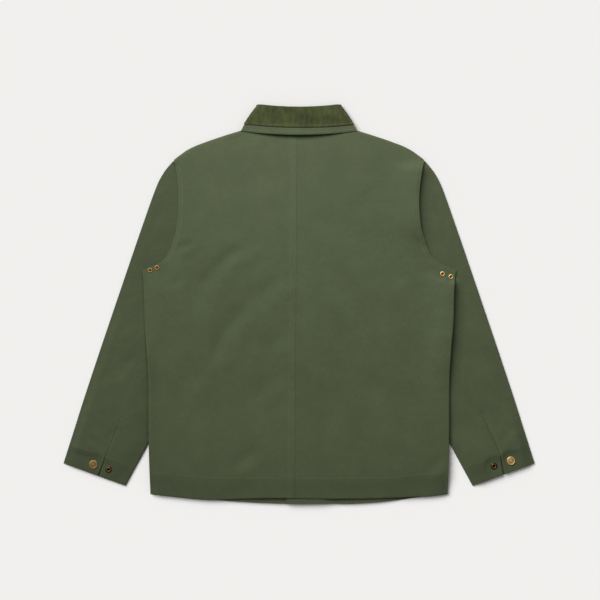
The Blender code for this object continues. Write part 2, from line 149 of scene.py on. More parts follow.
def add(tree, kind, inputs=None, **settings):
    """Adds a node with its properties and its inputs."""
    node = tree.nodes.new(kind)
    for key, value in settings.items():
        setattr(node, key, value)
    feed(node, inputs or {})
    return node


def begin(name):
    """A new material, its tree and its shader."""
    material = bpy.data.materials.new(name)
    material.use_nodes = True
    return material, material.node_tree, material.node_tree.nodes["Principled BSDF"]


def noise(tree, on, size, detail, **inputs):
    """A noise texture, on metres, whose lumps are about a size in millimetres."""
    return add(tree, "ShaderNodeTexNoise", {
        "Vector": on, "Scale": 1 / (size * MM), "Detail": detail, **inputs}).outputs["Fac"]


def bands(period):
    """The scale of a wave texture whose bands are a period in millimetres apart, on metres."""
    return 2 * math.pi / (20 * period * MM)


def stretched(tree, on, share):
    """Coordinates on which a pattern comes out longer down the cloth, by one over a share."""
    return add(tree, "ShaderNodeMapping", {"Vector": on, "Scale": (1, share, 1)}).outputs[0]


def ranged(tree, value, low, high, to_low=0, to_high=1):
    """A value whose run from low to high is moved to another run."""
    return add(tree, "ShaderNodeMapRange", {
        "Value": value, "From Min": low, "From Max": high, "To Min": to_low, "To Max": to_high}).outputs[0]


def between(tree, share, first, second):
    """A colour that goes from the first to the second by a share."""
    return add(tree, "ShaderNodeMix", {"Factor": share, "A": first, "B": second},
               data_type="RGBA").outputs["Result"]


def toned(tree, colour):
    """A colour times the tone that each piece carries as an attribute: soft patches, painted shade and painted
    highlight.
    """
    tone = add(tree, "ShaderNodeAttribute", attribute_name="tone").outputs["Fac"]
    return add(tree, "ShaderNodeVectorMath", {0: colour, "Scale": tone}, operation="SCALE").outputs[0]


def bumped(tree, height, distance, strength, **inputs):
    """A bump from a texture, of a distance in millimetres."""
    return add(tree, "ShaderNodeBump", {
        "Height": height, "Distance": distance * MM, "Strength": strength, **inputs}).outputs[0]


print("bands 1 mm apart need a wave scale of", round(bands(1)))

# %% [markdown]
# ## Camera, floor and light
# The jacket was photographed from straight above on a pale table. The shadows below the hem, to the right
# of the body and beside the cuffs are short and soft, and there are none to the left or above. So the main
# light is a broad one from the upper left, about 45 degrees high: a sun with a wide angle. The cloth is also
# lighter towards the collar, while the table has one even tone. A softbox just past the collar gives that
# fall of light, and light linking keeps it off the table.

# %% Camera, floor and light
VIEW_WIDTH = 1170                   # of the table that the picture shows, across 600 pixels
VIEW_CENTRE = (1.95, 397.6)         # of the picture, on the jacket
LENS, SENSOR = 85, 36
CAMERA_HEIGHT = VIEW_WIDTH * LENS / SENSOR
OUTLINE_HEIGHT = 4                  # the height at which the outline is in scale
FLOOR_REACH, FLOOR_DROP = 6, 0.0002     # in metres

camera_data = bpy.data.cameras.new("camera")
camera_data.lens = LENS
camera_data.sensor_width = SENSOR
camera = bpy.data.objects.new("camera", camera_data)
camera.location = place([*VIEW_CENTRE, OUTLINE_HEIGHT + CAMERA_HEIGHT])
bpy.context.scene.collection.objects.link(camera)
bpy.context.scene.camera = camera

paper, _, shader = begin("matt white paper")
feed(shader, {"Base Color": linear("#E7E6E4"), "Roughness": 0.95, "Specular IOR Level": 0})
floor_mesh = bpy.data.meshes.new("floor")
floor_mesh.from_pydata([(FLOOR_REACH * x, FLOOR_REACH * y, 0) for x, y in ((-1, -1), (1, -1), (1, 1), (-1, 1))],
                       [], [(0, 1, 2, 3)])
floor_mesh.materials.append(paper)
floor = bpy.data.objects.new("floor", floor_mesh)
floor.location.z = -FLOOR_DROP
bpy.context.scene.collection.objects.link(floor)

world = bpy.data.worlds.new("studio")
world.use_nodes = True
feed(world.node_tree.nodes["Background"], {"Color": linear("#FFFFFF"), "Strength": 0.33})
bpy.context.scene.world = world
bpy.context.scene.view_settings.view_transform = "Standard"

jacket = bpy.data.collections.new("jacket")
bpy.context.scene.collection.children.link(jacket)


def lamp(name, kind, energy, position, **settings):
    """A light at a position in metres that looks at the middle of the jacket."""
    data = bpy.data.lights.new(name, kind)
    data.energy = energy
    for key, value in settings.items():
        setattr(data, key, value)
    light = bpy.data.objects.new(name, data)
    light.location = position
    light.rotation_euler = (-light.location).to_track_quat("-Z", "Y").to_euler()
    bpy.context.scene.collection.objects.link(light)
    return light


lamp("sun", "SUN", 3.5, (-0.97, 0.98, 1.32), angle=math.radians(43))
softbox = lamp("softbox", "AREA", 11.4, (-0.02, 0.75, 0.70), shape="DISK", size=0.6)
softbox.light_linking.receiver_collection = jacket
print("camera", round(CAMERA_HEIGHT), "mm above the jacket")

# %% [markdown]
# ## The outline
# The jacket lies flat, so its outline is its pattern: the shoulder slope, the armhole, the side, and the
# sleeve's two folds. These are the solids' own tables, for one side; the other is its mirror image.

# %% Outline tables
NECK_HALF = 113
BACK_NECK = 724
FRONT_NECK = 640
SHOULDER_TIP = 670.6
UNDERARM = 456.1
CUFF_INNER = 35.3
PLACKET_HALF = 24
FELL_TOP, FELL_HEM = 4, 8
BACK_HEM, BACK_HEM_RISE = 10.2, 10
FRONT_HEM_RISE = 19
# height up, distance out
OUTER_FOLD = (
    (670.6, 243.9), (651.1, 260.5), (631.6, 272.4), (612.1, 280.8), (592.6, 288), (553.6, 301.7),
    (495.1, 321.9), (397.6, 355.1), (300.1, 388.1), (202.6, 420.4), (144.1, 438.9), (79.2, 459.6),
)
INNER_FOLD = (
    (454.2, 304.2), (442.5, 271.1), (426.9, 236), (391.8, 204.8), (339.1, 195), (280.6, 208.7),
    (202.6, 251.6), (121.5, 291.9), (35.3, 338.5),
)
ARMHOLE = (
    (670.6, 243.9), (628.1, 237), (598.5, 235.6), (567.3, 236.7), (533.1, 240.6), (502.9, 249.2),
    (478.7, 262.1), (468.8, 275.3), (456.1, 305.6),
)
SIDE = (
    (456.1, 305.6), (415.2, 302.6), (358.6, 301.1), (300.1, 296.6), (247.5, 293.3), (202.6, 292.9),
    (109, 291.9), (20, 289.5),
)
# distance out, height up
SHOULDER = (
    (113, 728.1), (131, 722.5), (150.2, 716.6), (184.1, 704.9), (212.2, 693.2), (232.1, 680.2),
    (243.9, 670.6),
)
HEM_LEVEL, HEM_HALF = SIDE[-1]
SHOULDER_LINE = [(high, wide) for wide, high in SHOULDER]
LOWER_FOLD = INNER_FOLD[-2:]
CUFF_LINE = (OUTER_FOLD[-1], INNER_FOLD[-1])
# inner height, share of the sleeve's width at its back seam and at its front seam, left and right. The right
# sleeve is turned a little on its folds, so its back seam shows nearer its outer fold than the solid's.
SLEEVE_SEAMS = {
    -1: ((35.3, 0.555, 0.86), (120, 0.53, 0.86), (287, 0.506, 0.86), (380, 0.56, 0.88), (425, 0.72, 0.93),
         (445, 0.90, 0.97)),
    1: ((35.3, 0.488, 0.86), (83, 0.430, 0.86), (150, 0.443, 0.86), (200, 0.452, 0.86), (252, 0.478, 0.86),
        (300, 0.52, 0.86), (380, 0.59, 0.88), (425, 0.72, 0.93), (445, 0.90, 0.97)),
}


def body_edge(y):
    """Distance out to the body's edge: the armhole above the underarm, the side fold below it."""
    return np.where(y > UNDERARM, ease(ARMHOLE, y), ease(SIDE, y))


def shoulder_edge(x):
    """Height of the back's top edge."""
    x = np.abs(x)
    neck = BACK_NECK + (SHOULDER[0][1] - BACK_NECK) * (x / NECK_HALF) ** 2
    return np.where(x > NECK_HALF, ease(SHOULDER, x), neck)


def front_edge(x):
    """Height of a front's top edge: the scooped neck, then the shoulder."""
    x = np.abs(x)
    scoop = np.sqrt(np.clip(1 - (x / NECK_HALF) ** 2, 0, 1))
    return np.where(x > NECK_HALF, ease(SHOULDER, x), SHOULDER[0][1] - (SHOULDER[0][1] - FRONT_NECK) * scoop)


def back_hem(x):
    """Height of the back's hem, which rises a little towards the sides."""
    return BACK_HEM + BACK_HEM_RISE * smooth((np.abs(x) - HEM_HALF / 2) / (HEM_HALF / 2))


def front_hem(x):
    """Height of a front's hem."""
    return FRONT_HEM_RISE * np.minimum(np.abs(x) / HEM_HALF, 1) ** 1.6


def fell_lean(y):
    """Distance of the centre-back seam from the centre, towards the left."""
    return FELL_TOP + (FELL_HEM - FELL_TOP) * (BACK_NECK - y) / BACK_NECK


print("chest, laid flat:", 2 * SIDE[0][1], "mm; centre back:", BACK_NECK - BACK_HEM, "mm")

# %% [markdown]
# ## The layers
# Laid flat, the jacket is a stack: a front on the table, the back on it, and beside them the sleeves,
# whose inner parts lie under the body. Each layer is a height over the table at every point (x, y). The
# body rises where a sleeve lies under it, and sinks to the table beside it. These heights are the solids'
# own, so the shells lie where the solids lie.

# %% Heights of the layers
SLEEVE_TOP = 2 * WALL + SLACK
OVER_SLEEVE = SLEEVE_TOP + GAP + 0.1
OVER_PLACKET = 2 * WALL + SLACK + 0.3
OVER_LEAF = WALL + GAP + 0.1
BACK_TOP = 7.2
BODY_RISE = 0.4
ARMHOLE_TOP = SLEEVE_TOP + GAP + WALL
HEM_SINK = 1.2
SLEEVE_PUFF = 4
FOLD_RADIUS = SLEEVE_TOP / 2
CLEAR_OF_SLEEVE, LIFT_FALL = 24, 32
EDGE_WIDTH = 15
HEM_SINK_TOP, HEM_SINK_FROM = 85, 60
PLACKET_EDGE, PLACKET_FALL = 1.5 * PLACKET_HALF, 40
LEAF_LINE = ((748, 97), (620, 28))
LEAF_REACH, LEAF_FALL = 42, 26
PUFF_START, PUFF_RISE, FOLD_RISE = 14, 26, 22


def lift(x, y):
    """1 where a sleeve lies under the body, falling to 0 beside it."""
    inside = (y > CUFF_INNER) & (y < INNER_FOLD[0][0]) & (np.abs(x) > ease(INNER_FOLD, y))
    gap = np.where(inside, 0, away(INNER_FOLD, x, y))
    return 1 - smooth((gap - CLEAR_OF_SLEEVE) / LIFT_FALL)


def front_low(x, y, over_placket):
    """Height of a front's outer face, which looks down."""
    leaf = 1 - smooth((away(LEAF_LINE, x, y) - LEAF_REACH) / LEAF_FALL)
    placket = np.where(over_placket, 1 - smooth((x - PLACKET_EDGE) / PLACKET_FALL), 0)
    return np.maximum(np.maximum(OVER_SLEEVE * lift(x, y), OVER_LEAF * leaf), OVER_PLACKET * placket)


def back_high(x, y):
    """Height of the back's outer face, lower along the armhole, the side and the hem."""
    under = front_low(x, y, x > -PLACKET_EDGE)
    near_hem = 1 - smooth((y - HEM_LEVEL) / (HEM_SINK_TOP - HEM_LEVEL))
    z = BACK_TOP + BODY_RISE * lift(x, y)
    z = z - HEM_SINK * near_hem * smooth((np.abs(x) - HEM_SINK_FROM) / HEM_SINK_FROM)
    z = np.maximum(z + relief(BACK_FOLDS, x, y), under + 2 * WALL + SLACK)
    to_edge = np.minimum(away(SHOULDER_LINE, x, y), away(SIDE, x, y))
    seam = under + 2 * WALL + GAP
    z = z - (z - seam) * (1 - smooth(to_edge / EDGE_WIDTH))
    over_sleeve = np.maximum(seam, ARMHOLE_TOP)
    return z + (over_sleeve - z) * (1 - smooth(away(ARMHOLE, x, y) / EDGE_WIDTH))


def beside_body(x, y):
    """Where a sleeve lies beside the body and not under it."""
    return (np.abs(x) > body_edge(y)) | (y < HEM_LEVEL)


def from_body(x, y):
    """Distance of a sleeve's point from the body's edge."""
    return np.minimum(away(ARMHOLE, x, y), away(SIDE, x, y))


def puffed(x, y):
    """From 0 to 1, how far a sleeve puffs up clear of the body and of its own folds."""
    clear = np.where(beside_body(x, y), from_body(x, y), 0)
    puff = smooth((clear - PUFF_START) / PUFF_RISE) * smooth(away(OUTER_FOLD, x, y) / FOLD_RISE)
    return puff * smooth(away(LOWER_FOLD, x, y) / FOLD_RISE)


def sleeve_high(x, y):
    """Height of a sleeve's upper face: pressed flat at its folds and under the body."""
    puff = puffed(x, y)
    return SLEEVE_TOP + SLEEVE_PUFF * puff + puff * relief(SLEEVE_FOLDS, x, y)


print("sleeve", SLEEVE_TOP, "mm high, back", BACK_TOP, "mm")

# %% Where the hardware sits, and the cloth pressed flat under it
EYELETS = ("eyelet_left_outer", "eyelet_left_inner", "eyelet_right_outer", "eyelet_right_inner")
CAPS = ("snap_cap_left", "snap_cap_right")
STUDS = ("snap_stud_left", "snap_stud_right")
FRONT_SNAPS = tuple(f"front_snap_{n}" for n in range(1, 6))
PRESSED_RIM, PRESSED_IN = 1, 0.05       # round each piece, and how far it sinks into the cloth


def seat_of(node):
    """Middle, radius and base of a piece of hardware, in millimetres."""
    low, high = (np.array(corner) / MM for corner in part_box(node))
    return (low[0] + high[0]) / 2, (low[1] + high[1] + LENGTH) / 2, (high[0] - low[0]) / 2, low[2]


def pressed(z, x, y, nodes, reach):
    """A surface's heights, brought to the hardware's base under each piece."""
    for node in nodes:
        seat_x, seat_y, radius, base = seat_of(node)
        near = 1 - smooth((np.hypot(x - seat_x, y - seat_y) - radius - PRESSED_RIM) / reach)
        z = z + (base - PRESSED_IN - z) * near
    return z


print("eyelet", round(2 * seat_of(EYELETS[0])[2], 1), "mm across, cap", round(2 * seat_of(CAPS[0])[2], 1), "mm")

# %% [markdown]
# ## Folds and creases
# Cloth that has hung and is then laid down keeps long soft folds. They are listed, one row of a table for
# each stretch, in millimetres: where it starts and ends, how deep it is and how wide. A fold here is a
# trough with a lower ridge on one side, and both fade at the ends. A negative depth makes the ridge the
# main part. No two rows are alike, as on the real cloth.

# %% Tables of folds, and the relief that they give
# x, y at the start, x, y at the end, depth, half width
BACK_FOLDS = (
    (-127.3, 493.7, -157.2, 463.9, 1.5, 13), (-157.2, 463.9, -187.2, 423, 1.9, 16),
    (-187.2, 423, -195, 385.9, 1.6, 17), (-195, 385.9, -209.4, 325.5, 1.2, 19),
    (-37.8, 438.6, -116.2, 378.1, 1.2, 18), (-116.2, 378.1, -157.2, 311.8, 1.7, 17),
    (-157.2, 311.8, -224.3, 235.8, 1.8, 20), (-224.3, 235.8, -236, 187, 1.4, 17),
    (-236, 187, -258, 153.9, 1, 15), (-209.4, 508.8, -236, 497.1, 1.1, 8),
    (-228.2, 441.5, -247.7, 426.9, 1.3, 9), (-79, 516.6, -128.7, 485.4, 1, 14),
    (-82.7, 109, -127.3, 71, 1.2, 14), (-60, 640, -150, 612, 0.8, 24),
    (-40, 250, -95, 205, 0.9, 17), (-20, 330, -70, 300, 0.7, 15),
    (228.2, 516.6, 247.7, 497.1, 1.2, 8), (280.8, 93.4, 247.7, 60.3, 1.1, 11),
    (70, 560, 150, 500, 0.9, 20), (150, 500, 205, 430, 1.1, 18),
    (60, 470, 120, 410, 0.8, 16), (120, 410, 190, 300, 1.1, 21),
    (45, 380, 95, 330, 0.8, 15), (95, 330, 150, 210, 1, 20),
    (40, 240, 80, 160, 0.8, 17), (200, 260, 245, 180, 0.9, 16),
    (110, 130, 170, 84, 0.8, 15), (70, 655, 140, 640, 0.7, 20),
)
SLEEVE_FOLDS = (
    (-296.4, 296.2, -345, 268, 1.3, 10), (-345, 268, -395.9, 239.7, 1, 12),
    (-336.4, 261.1, -362.7, 239.7, 0.8, 8), (-415.4, 171.4, -393.9, 146.1, 1, 9),
    (-268, 585, -292, 520, 0.9, 9), (-300, 430, -338, 395, 1.2, 11),
    (-320, 355, -352, 335, 0.8, 9), (-350, 150, -378, 120, 0.7, 10),
    (-410, 119, -378, 95, -1.5, 6), (-446, 104, -410, 89, 1.5, 7),
    (262, 640, 270, 560, 1.2, 7), (272, 600, 288, 520, 0.9, 8),
    (330, 440, 345, 385, 0.8, 10), (322, 330, 372, 262, 1, 12),
    (352, 225, 402, 190, 0.8, 11), (418, 150, 392, 118, 0.8, 9),
    (357, 180, 389, 106, 1.3, 5),
)
RIDGE, RIDGE_AWAY = 0.45, 1.6       # of the lower ridge: its share of the depth, and how many half widths away


def relief(folds, x, y):
    """The height that a table's folds add at (x, y)."""
    z = np.zeros(np.broadcast(x, y).shape)
    for x0, y0, x1, y1, depth, half in folds:
        dx, dy = x1 - x0, y1 - y0
        size = math.hypot(dx, dy)
        along = ((x - x0) * dx + (y - y0) * dy) / size ** 2
        off = ((x - x0) * dy - (y - y0) * dx) / size
        fade = half / size
        ends = smooth((along + fade) / (2 * fade)) * smooth((1 + fade - along) / (2 * fade))
        z -= depth * ends * (bell(off, half) - RIDGE * bell(off + RIDGE_AWAY * half, half))
    return z


print("folds by hand:", len(BACK_FOLDS), "stretches on the back,", len(SLEEVE_FOLDS), "on the sleeves")

# %% [markdown]
# ## Seams and puckers
# Where cloth is turned under and sewn there are two or three layers, so fells and armholes stand half a
# millimetre proud of the single cloth beside them, and that edge catches the light. A hem falls away from
# its stitches to its edge. The thread draws the cloth in a little, and it puckers in short uneven ripples
# beside each line of stitches.

# %% Seam allowances and puckers
HEM_DEPTH = CUFF_DEPTH = 41         # of the turned hems
FELL_LINES = (1.5, 6.2, 10.9)       # of stitches, left of the centre-back seam
FELL_WIDTH = 12.4
ARMHOLE_STITCH = 9                  # inside the armhole's edge
ALLOWANCE_RISE = 0.55               # of turned cloth over single cloth
# rate, share: the waves that add up to an uneven row
WAVES = ((1, 0.55), (1.37, 0.30), (0.61, 0.35), (2.13, 0.12))
# height, pitch, reach from the line, seed
PUCKERS = {
    "fell": ((0.20, 10.5, 11, 1), (0.10, 6.1, 5, 4)), "hem": ((0.24, 12, 13, 2),),
    "hem edge": ((0.50, 47, 14, 5),), "armhole": ((0.26, 13, 9, 3),), "cuff": ((0.22, 11, 12, 6),),
    "sleeve head": ((0.30, 16, 9, 1.7),),
}


def ripple(along, pitch, seed):
    """Uneven puckers from -1 to 1 along a line of stitches, about a pitch apart."""
    total = sum(share * np.sin(2 * math.pi * along * rate / pitch + seed * (1 + 2.3 * n))
                for n, (rate, share) in enumerate(WAVES))
    return total * (0.65 + 0.35 * np.sin(along / (7.3 * pitch) + seed))


def sewn(seam, distance, along):
    """Puckers beside a seam's line of stitches, fading with the distance from it."""
    return sum(height * bell(distance, reach) * ripple(along, pitch, seed)
               for height, pitch, reach, seed in PUCKERS[seam])


def allowance(distance, width):
    """The rise of turned cloth within a width of an edge, falling off just past it."""
    return ALLOWANCE_RISE * (1 - smooth((distance - width) / 1.6))


def hem_fall(over_hem, depth, step, fall):
    """How far a turned hem falls: a step below its stitches, and from there evenly to its edge."""
    below = np.clip((depth - over_hem) / depth, 0, 1)
    return step * smooth(below / 0.7) + fall * below


print("puckers along:", ", ".join(PUCKERS))

# %% The back's and the fronts' surfaces
# a pair is the two heights, or distances out, between which a shape comes in: none of it, all of it
LOFT, LOFT_RUN = 6.2, (230, 80)     # of the back over the fronts at its hem, where nothing presses it down
HEM_STEP, HEM_FALL = 1.3, 1.6
CROWN, CROWN_WIDTH = 3.2, 5         # of the turned shoulder
RIM, RIM_WIDTH = 3.2, 12            # of the soft ridge along the lower left side
RIM_UP, RIM_DOWN = (60, 120), (340, 280)
SIDE_SEAM, SIDE_SEAM_WIDTH = {-1: 0.45, 1: 0.3}, 15     # of the wavy ridge along each side
SIDE_SEAM_RUN = (60, 210)
CURL, CURL_WIDTH = 4.2, 24          # of the fronts' hem, off the table
CURL_RUN = (150, 230)
FOLDS_DEEPER = {-1: 0.68, 1: 0.55}  # than the solids' folds, left and right
RAISED = 13.2                       # the most that the right edge stands off the sleeve
RAISED_ARMHOLE, RAISED_SIDE = 40, 38    # over which it falls towards the middle of the back
RAISED_HEAD, RAISED_UNDERARM, RAISED_UNDER = (670, 650), (470, 560), (456, 434)
RAISED_STEPS = ((0.25, (95, 185)), (0.75, (190, 330)))      # share of the side's rise, and where it comes in
RAISED_WAVE = 0.08                  # share by which the side's rise waves
EYELET_RIM, EYELET_REACH = 0.6, 8   # round each eyelet, where nothing is raised
# distance out, how far the back's hem hangs below its straight cut
HEM_SAG = (
    (-290, 1.2), (-262, 3.2), (-193, 3.8), (-140, 1.2), (-100, -0.4), (-76, -1.1), (-25, -1.4), (20, -0.3),
    (60, 0), (120, -0.3), (177, -0.8), (215, 1.4), (250, 3.6), (270, 3), (290, 1),
)
FRONT_SAG = ((0, 0), (30, 0.2), (60, 1), (100, 3.4), (150, 3.6), (195, 2.6), (250, 0.5), (290, 0))


def stand_off(x, y):
    """Extra height of the body's right edge, whose seams are stiff and hold it off the sleeve."""
    armhole = RAISED * run(y, *RAISED_HEAD) * run(y, *RAISED_UNDERARM)
    side = RAISED * run(y, *RAISED_UNDER) * sum(share * run(y, *heights) for share, heights in RAISED_STEPS)
    side = side * (1 + RAISED_WAVE * ripple(y, 41, 2.5))
    raised = np.maximum(armhole * bell(away(ARMHOLE, x, y), RAISED_ARMHOLE),
                        side * bell(away(SIDE, x, y), RAISED_SIDE))
    for node in EYELETS:
        seat_x, seat_y, radius, _ = seat_of(node)
        from_seat = np.hypot(x - seat_x, y - seat_y) - radius
        raised = raised * smooth((from_seat - EYELET_RIM) / EYELET_REACH)
    return np.where(x > 0, raised, 0)


def back_surface(x, y):
    """The back's outer face with its fell, hem and armhole allowances and their puckers."""
    shoulder, armhole, side = (away(line, x, y) for line in (SHOULDER_LINE, ARMHOLE, SIDE))
    z = back_high(x, y) + stand_off(x, y) + LOFT * run(y, *LOFT_RUN)
    crown = np.sqrt(1 - (1 - np.clip(shoulder / CROWN_WIDTH, 0, 1)) ** 2)
    z = z + CROWN * (1 - smooth(shoulder / EDGE_WIDTH)) * crown
    from_fell = -fell_lean(y) - x
    z = z + allowance(from_fell, FELL_WIDTH) * (x < 0) * smooth((from_fell + 0.2) / 1.6)
    z = z + sewn("fell", np.maximum(np.abs(from_fell - FELL_WIDTH / 2) - FELL_WIDTH / 2, 0), y)
    over_hem = y - back_hem(x)
    z = z - hem_fall(over_hem, HEM_DEPTH, HEM_STEP, HEM_FALL)
    z = z + sewn("hem", over_hem - HEM_DEPTH, x) + sewn("hem edge", over_hem, x)
    z = z + allowance(armhole, ARMHOLE_STITCH + 1)
    z = z + sewn("armhole", armhole - ARMHOLE_STITCH, y - 0.8 * np.abs(x) + 60 * (x > 0))
    fade = smooth((UNDERARM + 30 - y) / 30) * run(y, *SIDE_SEAM_RUN)
    z = z + by_side(SIDE_SEAM, x) * fade * (1 + ripple(y, 29, 2.5)) * bell(side, SIDE_SEAM_WIDTH)
    rim = np.where(x < 0, run(y, *RIM_UP) * run(y, *RIM_DOWN), 0)
    z = z + RIM * rim * bell(side, RIM_WIDTH)
    z = z + by_side(FOLDS_DEEPER, x) * relief(BACK_FOLDS, x, y)
    return pressed(z, x, y, EYELETS, reach=9)


def front_surface(x, y, over_placket):
    """The front's outer face, which looks down: it rests flat, so what it carries rises into the stack."""
    curl = CURL * bell(y - front_hem(x), CURL_WIDTH) * (1 - run(np.abs(x), *CURL_RUN))
    return front_low(x, y, over_placket) + stand_off(x, y) + curl


print("hem", HEM_DEPTH, "mm, lofted by", LOFT, "mm; the right edge stands off by up to", RAISED, "mm")

# %% The sleeves' surface
CUFF_STEP, CUFF_FALL = 1.6, 1.4
CUFF_LOFT = {-1: 2.2, 1: 6.4}       # of the left and the right cuff, which stand open a little
CUFF_LOFT_RUN = (130, 40)           # distances from the cuff's end
# height along the left sleeve, how high it is there before it rolls down to the body or to its inner fold
ROLL_LEFT = ((35, 2.2), (120, 4.6), (163, 6.4), (241, 5.2), (320, 4.2), (398, 2.2), (480, 1.2), (640, 1.2))
ROLL_WIDTH = 42
FOLD_FADE, LEFT_FADE = 20, 46       # over which the relief comes in from a fold
SETTLED = 0.85                      # of the right sleeve's puff, which is pressed out again
SHEER, BORNE = 26, 0.38             # over which the right sleeve falls from the edge, and its share of the rise


def sleeve_surface(x, y):
    """The sleeve's upper face with its cuff hem and puckers."""
    armhole, outer, inner, cuff = (away(line, x, y) for line in (ARMHOLE, OUTER_FOLD, LOWER_FOLD, CUFF_LINE))
    beside, clear = beside_body(x, y), from_body(x, y)
    puff = SLEEVE_PUFF * puffed(x, y)
    roll = ease(ROLL_LEFT, y) * (1 - (1 - np.clip(np.minimum(clear, inner) / ROLL_WIDTH, 0, 1)) ** 2)
    z = sleeve_high(x, y) + beside * np.where(x < 0, roll * smooth(outer / FOLD_FADE) - puff, -SETTLED * puff)
    folds = smooth(np.minimum(outer, inner) / FOLD_FADE)
    folds = np.where(x < 0, folds * smooth(inner / LEFT_FADE), folds)
    loft = by_side(CUFF_LOFT, x) * run(cuff, *CUFF_LOFT_RUN)
    z = z + folds * (loft - hem_fall(cuff, CUFF_DEPTH, CUFF_STEP, CUFF_FALL))
    z = z + sewn("cuff", cuff - CUFF_DEPTH, np.abs(x) - 0.4 * y) * smooth(cuff / 6)
    z = z + np.where(beside, sewn("sleeve head", armhole - 6, y), 0)
    falling = stand_off(np.sign(x) * body_edge(y), y) * np.clip(1 - clear / SHEER, 0, 1) ** 2
    z = z + BORNE * np.where(beside, falling, stand_off(x, y))
    return pressed(z, x, y, CAPS + STUDS, reach=15)


print("cuff hem", CUFF_DEPTH, "mm, armhole stitched", ARMHOLE_STITCH, "mm in")

# %% [markdown]
# ## Cotton twill
# The shell is a sturdy cotton twill, piece-dyed olive and brushed. A twill's warp floats over two or three
# weft threads and steps along by one each row, which draws fine diagonal ribs. They could be modelled, but
# at well under a millimetre they are texture: a wave of bands over the cloth's own UV map, which runs in
# metres of cloth, so each piece has its grain along its length. Brushed cotton scatters light almost
# evenly, so it is rough with hardly any gloss, and its fuzz gives a faint pale sheen at a glance.

# %% The twill
TWILL_RIB = 1               # drawn at about twice its real width, or it wouldn't show from here
TWILL_ANGLE = 58


def make_twill(name, dark, light):
    """Ribs, slubs in the yarn, an uneven wash and soft crumples."""
    material, tree, shader = begin(name)
    on = add(tree, "ShaderNodeUVMap", uv_map="cloth").outputs["UV"]
    diagonal = add(tree, "ShaderNodeMapping", {"Vector": on, "Rotation": (0, 0, math.radians(TWILL_ANGLE))})
    ribs = add(tree, "ShaderNodeTexWave", {"Vector": diagonal.outputs[0], "Scale": bands(TWILL_RIB),
                                           "Distortion": 1.2, "Detail": 2, "Detail Scale": 1.5})
    slubs = ranged(tree, noise(tree, stretched(tree, on, 0.22), 1.9, 3), 0.25, 0.75, -0.22, 0.22)
    wash = ranged(tree, noise(tree, on, 46, 4, Roughness=0.6), 0.3, 0.7, 0.32, 0.68)
    share = add(tree, "ShaderNodeMath", {0: wash, 1: slubs}, operation="ADD").outputs[0]
    crumples = bumped(tree, noise(tree, on, 17, 3), 0.9, 0.6)
    feed(shader, {
        "Base Color": toned(tree, between(tree, share, linear(dark), linear(light))),
        "Normal": bumped(tree, ribs.outputs["Fac"], 0.10, 0.6, Normal=crumples),
        "Roughness": 0.88, "Specular IOR Level": 0.18,
        "Sheen Weight": 0.06, "Sheen Roughness": 0.55, "Sheen Tint": linear("#C9CFB4")})
    return material


FINISHES = {"twill": make_twill("brushed cotton twill", "#313725", "#3D452F")}
print("twill ribs", TWILL_RIB, "mm apart, wave scale", round(bands(TWILL_RIB)))

# %% [markdown]
# ## A shell of cloth
# A piece of cloth could be one surface, but then its edges are as thin as paper. Here each piece is a grid
# of points on its outer face. Solidify gives it its thickness towards the inside, and a small Bevel rounds
# the cut edges as a turned edge is rounded. The grid's own distances in millimetres become its UV map.

# %% The functions that add a piece and lay a piece of cloth
BODY = "root"


def add_piece(name, mesh, slot, *nodes):
    """A mesh as a piece on the jacket's one body, in the place of the nodes that it stands for."""
    piece = bpy.data.objects.new(name, mesh)
    jacket.objects.link(piece)
    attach(piece, BODY)
    if nodes:
        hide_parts(*nodes)
    return piece


def cloth(node, points, pattern, slot="twill", flip=False, rounding=0.5, tone=1):
    """A shell from a grid of outer points (rows, columns, xyz) and its flat pattern, for a node."""
    rows, columns = points.shape[:2]
    index = np.arange(rows * columns).reshape(rows, columns)
    faces = joined(index[:-1, :-1], index[1:, :-1], index[1:, 1:], index[:-1, 1:]).reshape(-1, 4)
    if flip:
        faces = faces[:, ::-1]
    mesh = bpy.data.meshes.new(f"{node}_cloth")
    mesh.from_pydata(place(points).reshape(-1, 3).tolist(), [], faces.tolist())
    mesh.uv_layers.new(name="cloth").data.foreach_set(
        "uv", (pattern.reshape(-1, 2)[faces.ravel()] * MM).ravel())
    mesh.attributes.new("tone", "FLOAT", "POINT").data.foreach_set(
        "value", np.broadcast_to(tone, (rows, columns)).ravel().astype(np.float32))
    mesh.materials.append(FINISHES[slot])
    mesh.shade_smooth()
    piece = add_piece(mesh.name, mesh, slot, node)
    thickness = piece.modifiers.new("thickness", "SOLIDIFY")
    thickness.thickness = WALL * MM
    thickness.offset = -1
    edge = piece.modifiers.new("turned edge", "BEVEL")
    edge.width = rounding * MM
    edge.segments = 2
    edge.limit_method = "ANGLE"
    edge.angle_limit = math.radians(60)
    print(piece.name, rows, "by", columns, "points, highest", round(float(points[..., 2].max()), 1), "mm")


def spread(start, end, pitch):
    """Values from start to end, about a pitch apart, without the end."""
    count = max(1, round(abs(end - start) / pitch))
    return start + (end - start) * np.arange(count) / count


print("cloth", WALL, "mm thick")

# %% [markdown]
# ## Back
# Two half panels meet in a felled seam down the centre back: one edge is wrapped round the other and sewn
# flat with three rows of stitches, as on work clothes. Each half is one grid. Its columns run from the
# centre seam to the edge and its rows from the shoulder to the hem, closer together where the fell, the
# hem and the armhole need it.

